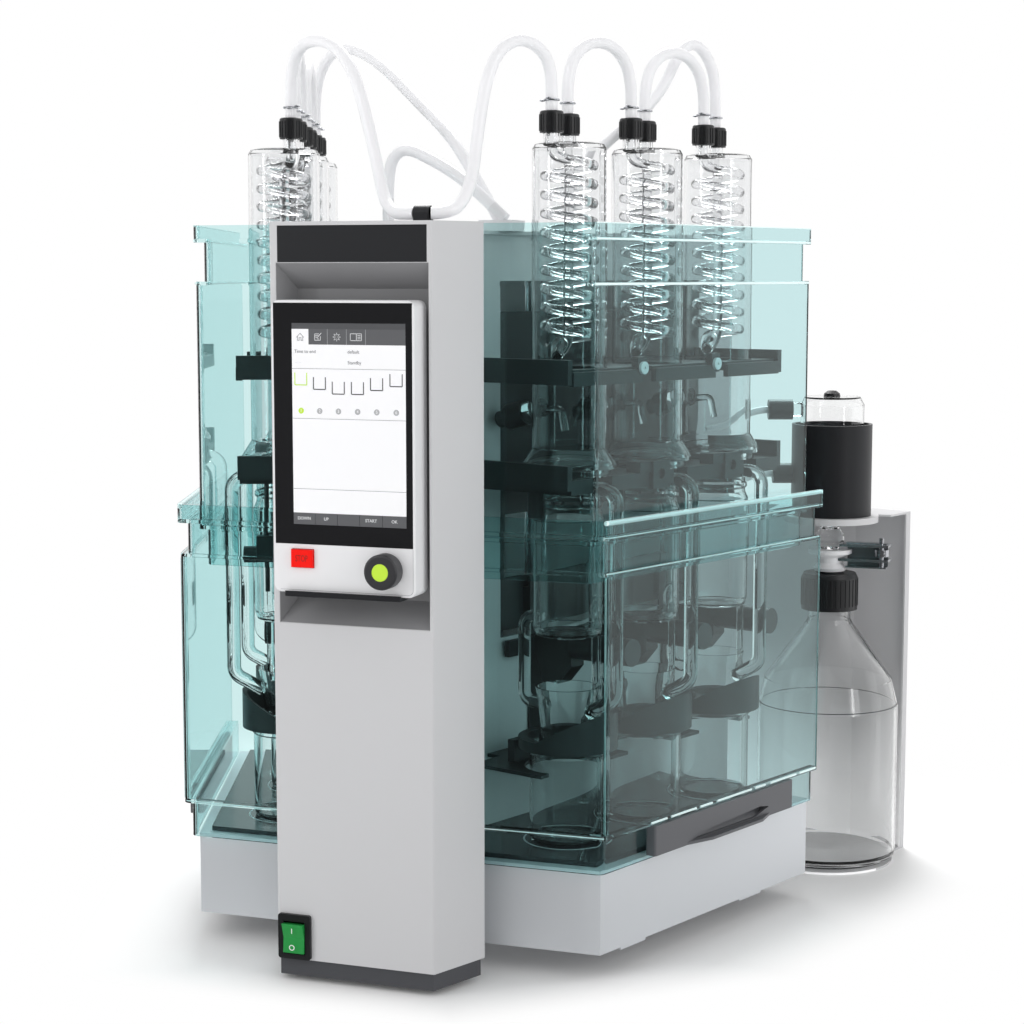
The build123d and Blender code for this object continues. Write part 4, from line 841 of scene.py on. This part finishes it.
# Painted shade: a dark ring where the bottle's shoulder bends, standing in for the glass's dark edge there.
shoulder_shade_paint, p = finish("painted shoulder shade line", tone(60, 64, 66), 0.3)
grain(shoulder_shade_paint, p, 900.0, 1.0, 0.25, 0.35, 0.0, 0.0)
ring("bottle_shoulder_line", [TANK], 67.9, 68.15, 148.2, 149.0, shoulder_shade_paint, "main")
ring("plate_rings", stations, 35.2, 36.8, 90.28, 90.36, printed, "main")
white_ink, p = finish("rocker marks", tone(235, 240, 236), 0.4)
grain(white_ink, p, 900.0, 1.0, 0.35, 0.45, 0.000005, 0.1)
# The marks lie on the rocker's own face, which tips with the key.
low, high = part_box("power_rocker")
face_y = low.y * MM + MIDDLE[1]
words("rocker_mark_i", "I", -52.0, 38.6, 6.0, white_ink, "CENTER", y=face_y - 0.05, body="rocker",
      bold=0.08)
words("rocker_mark_o", "O", -52.0, 25.0, 6.4, white_ink, "CENTER", y=face_y - 0.05, body="rocker",
      bold=0.08)
# Painted highlights: bright, faintly glowing lines laid along the sheets' edges and corners.
edge_highlight_paint, p = finish("painted edge highlight", tone(226, 246, 246), 0.12)
p.inputs["Emission Color"].default_value = (0.85, 1.0, 1.0, 1.0)
p.inputs["Emission Strength"].default_value = 0.15


soft_edge_highlight_paint, p = finish("painted soft edge highlight", tone(140, 190, 190), 0.2)
grain(soft_edge_highlight_paint, p, 900.0, 1.0, 0.15, 0.25, 0.0, 0.0)


def bead(name, points, r, body, look=None):
    """A round line of painted highlight along a sheet's edge."""
    c = bpy.data.curves.new(name, "CURVE")
    c.dimensions = "3D"
    line = c.splines.new("POLY")
    line.points.add(len(points) - 1)
    for spot, q in zip(line.points, points):
        spot.co = (*at(*q), 1.0)
    c.bevel_depth = r / MM
    c.bevel_resolution = 2
    c.use_fill_caps = True
    c.materials.append(look or edge_highlight_paint)
    o = bpy.data.objects.new(name, c)
    bpy.context.scene.collection.objects.link(o)
    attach(o, body)
    return o


def shield_corner(side, v, front):
    """Where a side panel, v out from the row, meets the front panel's plane."""
    x, y, z = row_point(1, 0, v, 0)
    return (side * (x + (front - y) / math.tan(ROW_TURN)), front)


SHEET_REAR = 256.0
for side, word in ((1, "right"), (-1, "left")):
    for i, (z, v, front, r) in enumerate(((599.3, 70.5, 76.2, 0.5), (587.0, 70.0, 76.8, 1.1),
                                          (552.0, 69.0, 77.0, 1.1))):
        cx, cy = shield_corner(side, v, front)
        bead("upper_edge_%s_%d" % (word, i + 1), [(cx, cy + 1.0, z), row_point(side, SHEET_REAR, v, z)], r,
             "main")
    for i, (z, v, front, r) in enumerate(((367.2, 84.9, 65.4, 2.0), (355.0, 81.0, 70.0, 0.5),
                                          (327.0, 84.0, 68.0, 0.6))):
        cx, cy = shield_corner(side, v, front)
        bead("lower_edge_%s_%d" % (word, i + 1), [(cx, cy + 1.0, z), row_point(side, SHEET_REAR, v, z)], r,
             "shield_" + word)
    bead("lower_front_edge_" + word, [(side * 64.0, 67.0, 116.0),
                                      (*shield_corner(side, 83.0, 68.5), 116.0)], 0.5,
         "shield_" + word)
    dashes = [(2, 24), (30, 66), (72, 90), (97, 150), (156, 172), (180, 222), (228, 255)]
    for i, (u0, u1) in enumerate(dashes):
        bead("foot_edge_%s_%d" % (word, i + 1), [row_point(side, u0, 84.6, 116.4),
                                                 row_point(side, u1, 84.6, 116.4)], 1.1,
             "shield_" + word)
    for i, (v, front) in enumerate(((84.4, 67.6), (81.4, 70.6))):
        bead("corner_edge_%s_%d" % (word, i + 1), [(*shield_corner(side, v, front), 119.0),
                                                   (*shield_corner(side, v, front), 324.0)],
             0.22, "shield_" + word, soft_edge_highlight_paint)
    bead("rear_edge_" + word, [row_point(side, SHEET_REAR, 83.5, 118.0),
                               row_point(side, SHEET_REAR, 83.5, 325.0)], 0.35,
         "shield_" + word, soft_edge_highlight_paint)
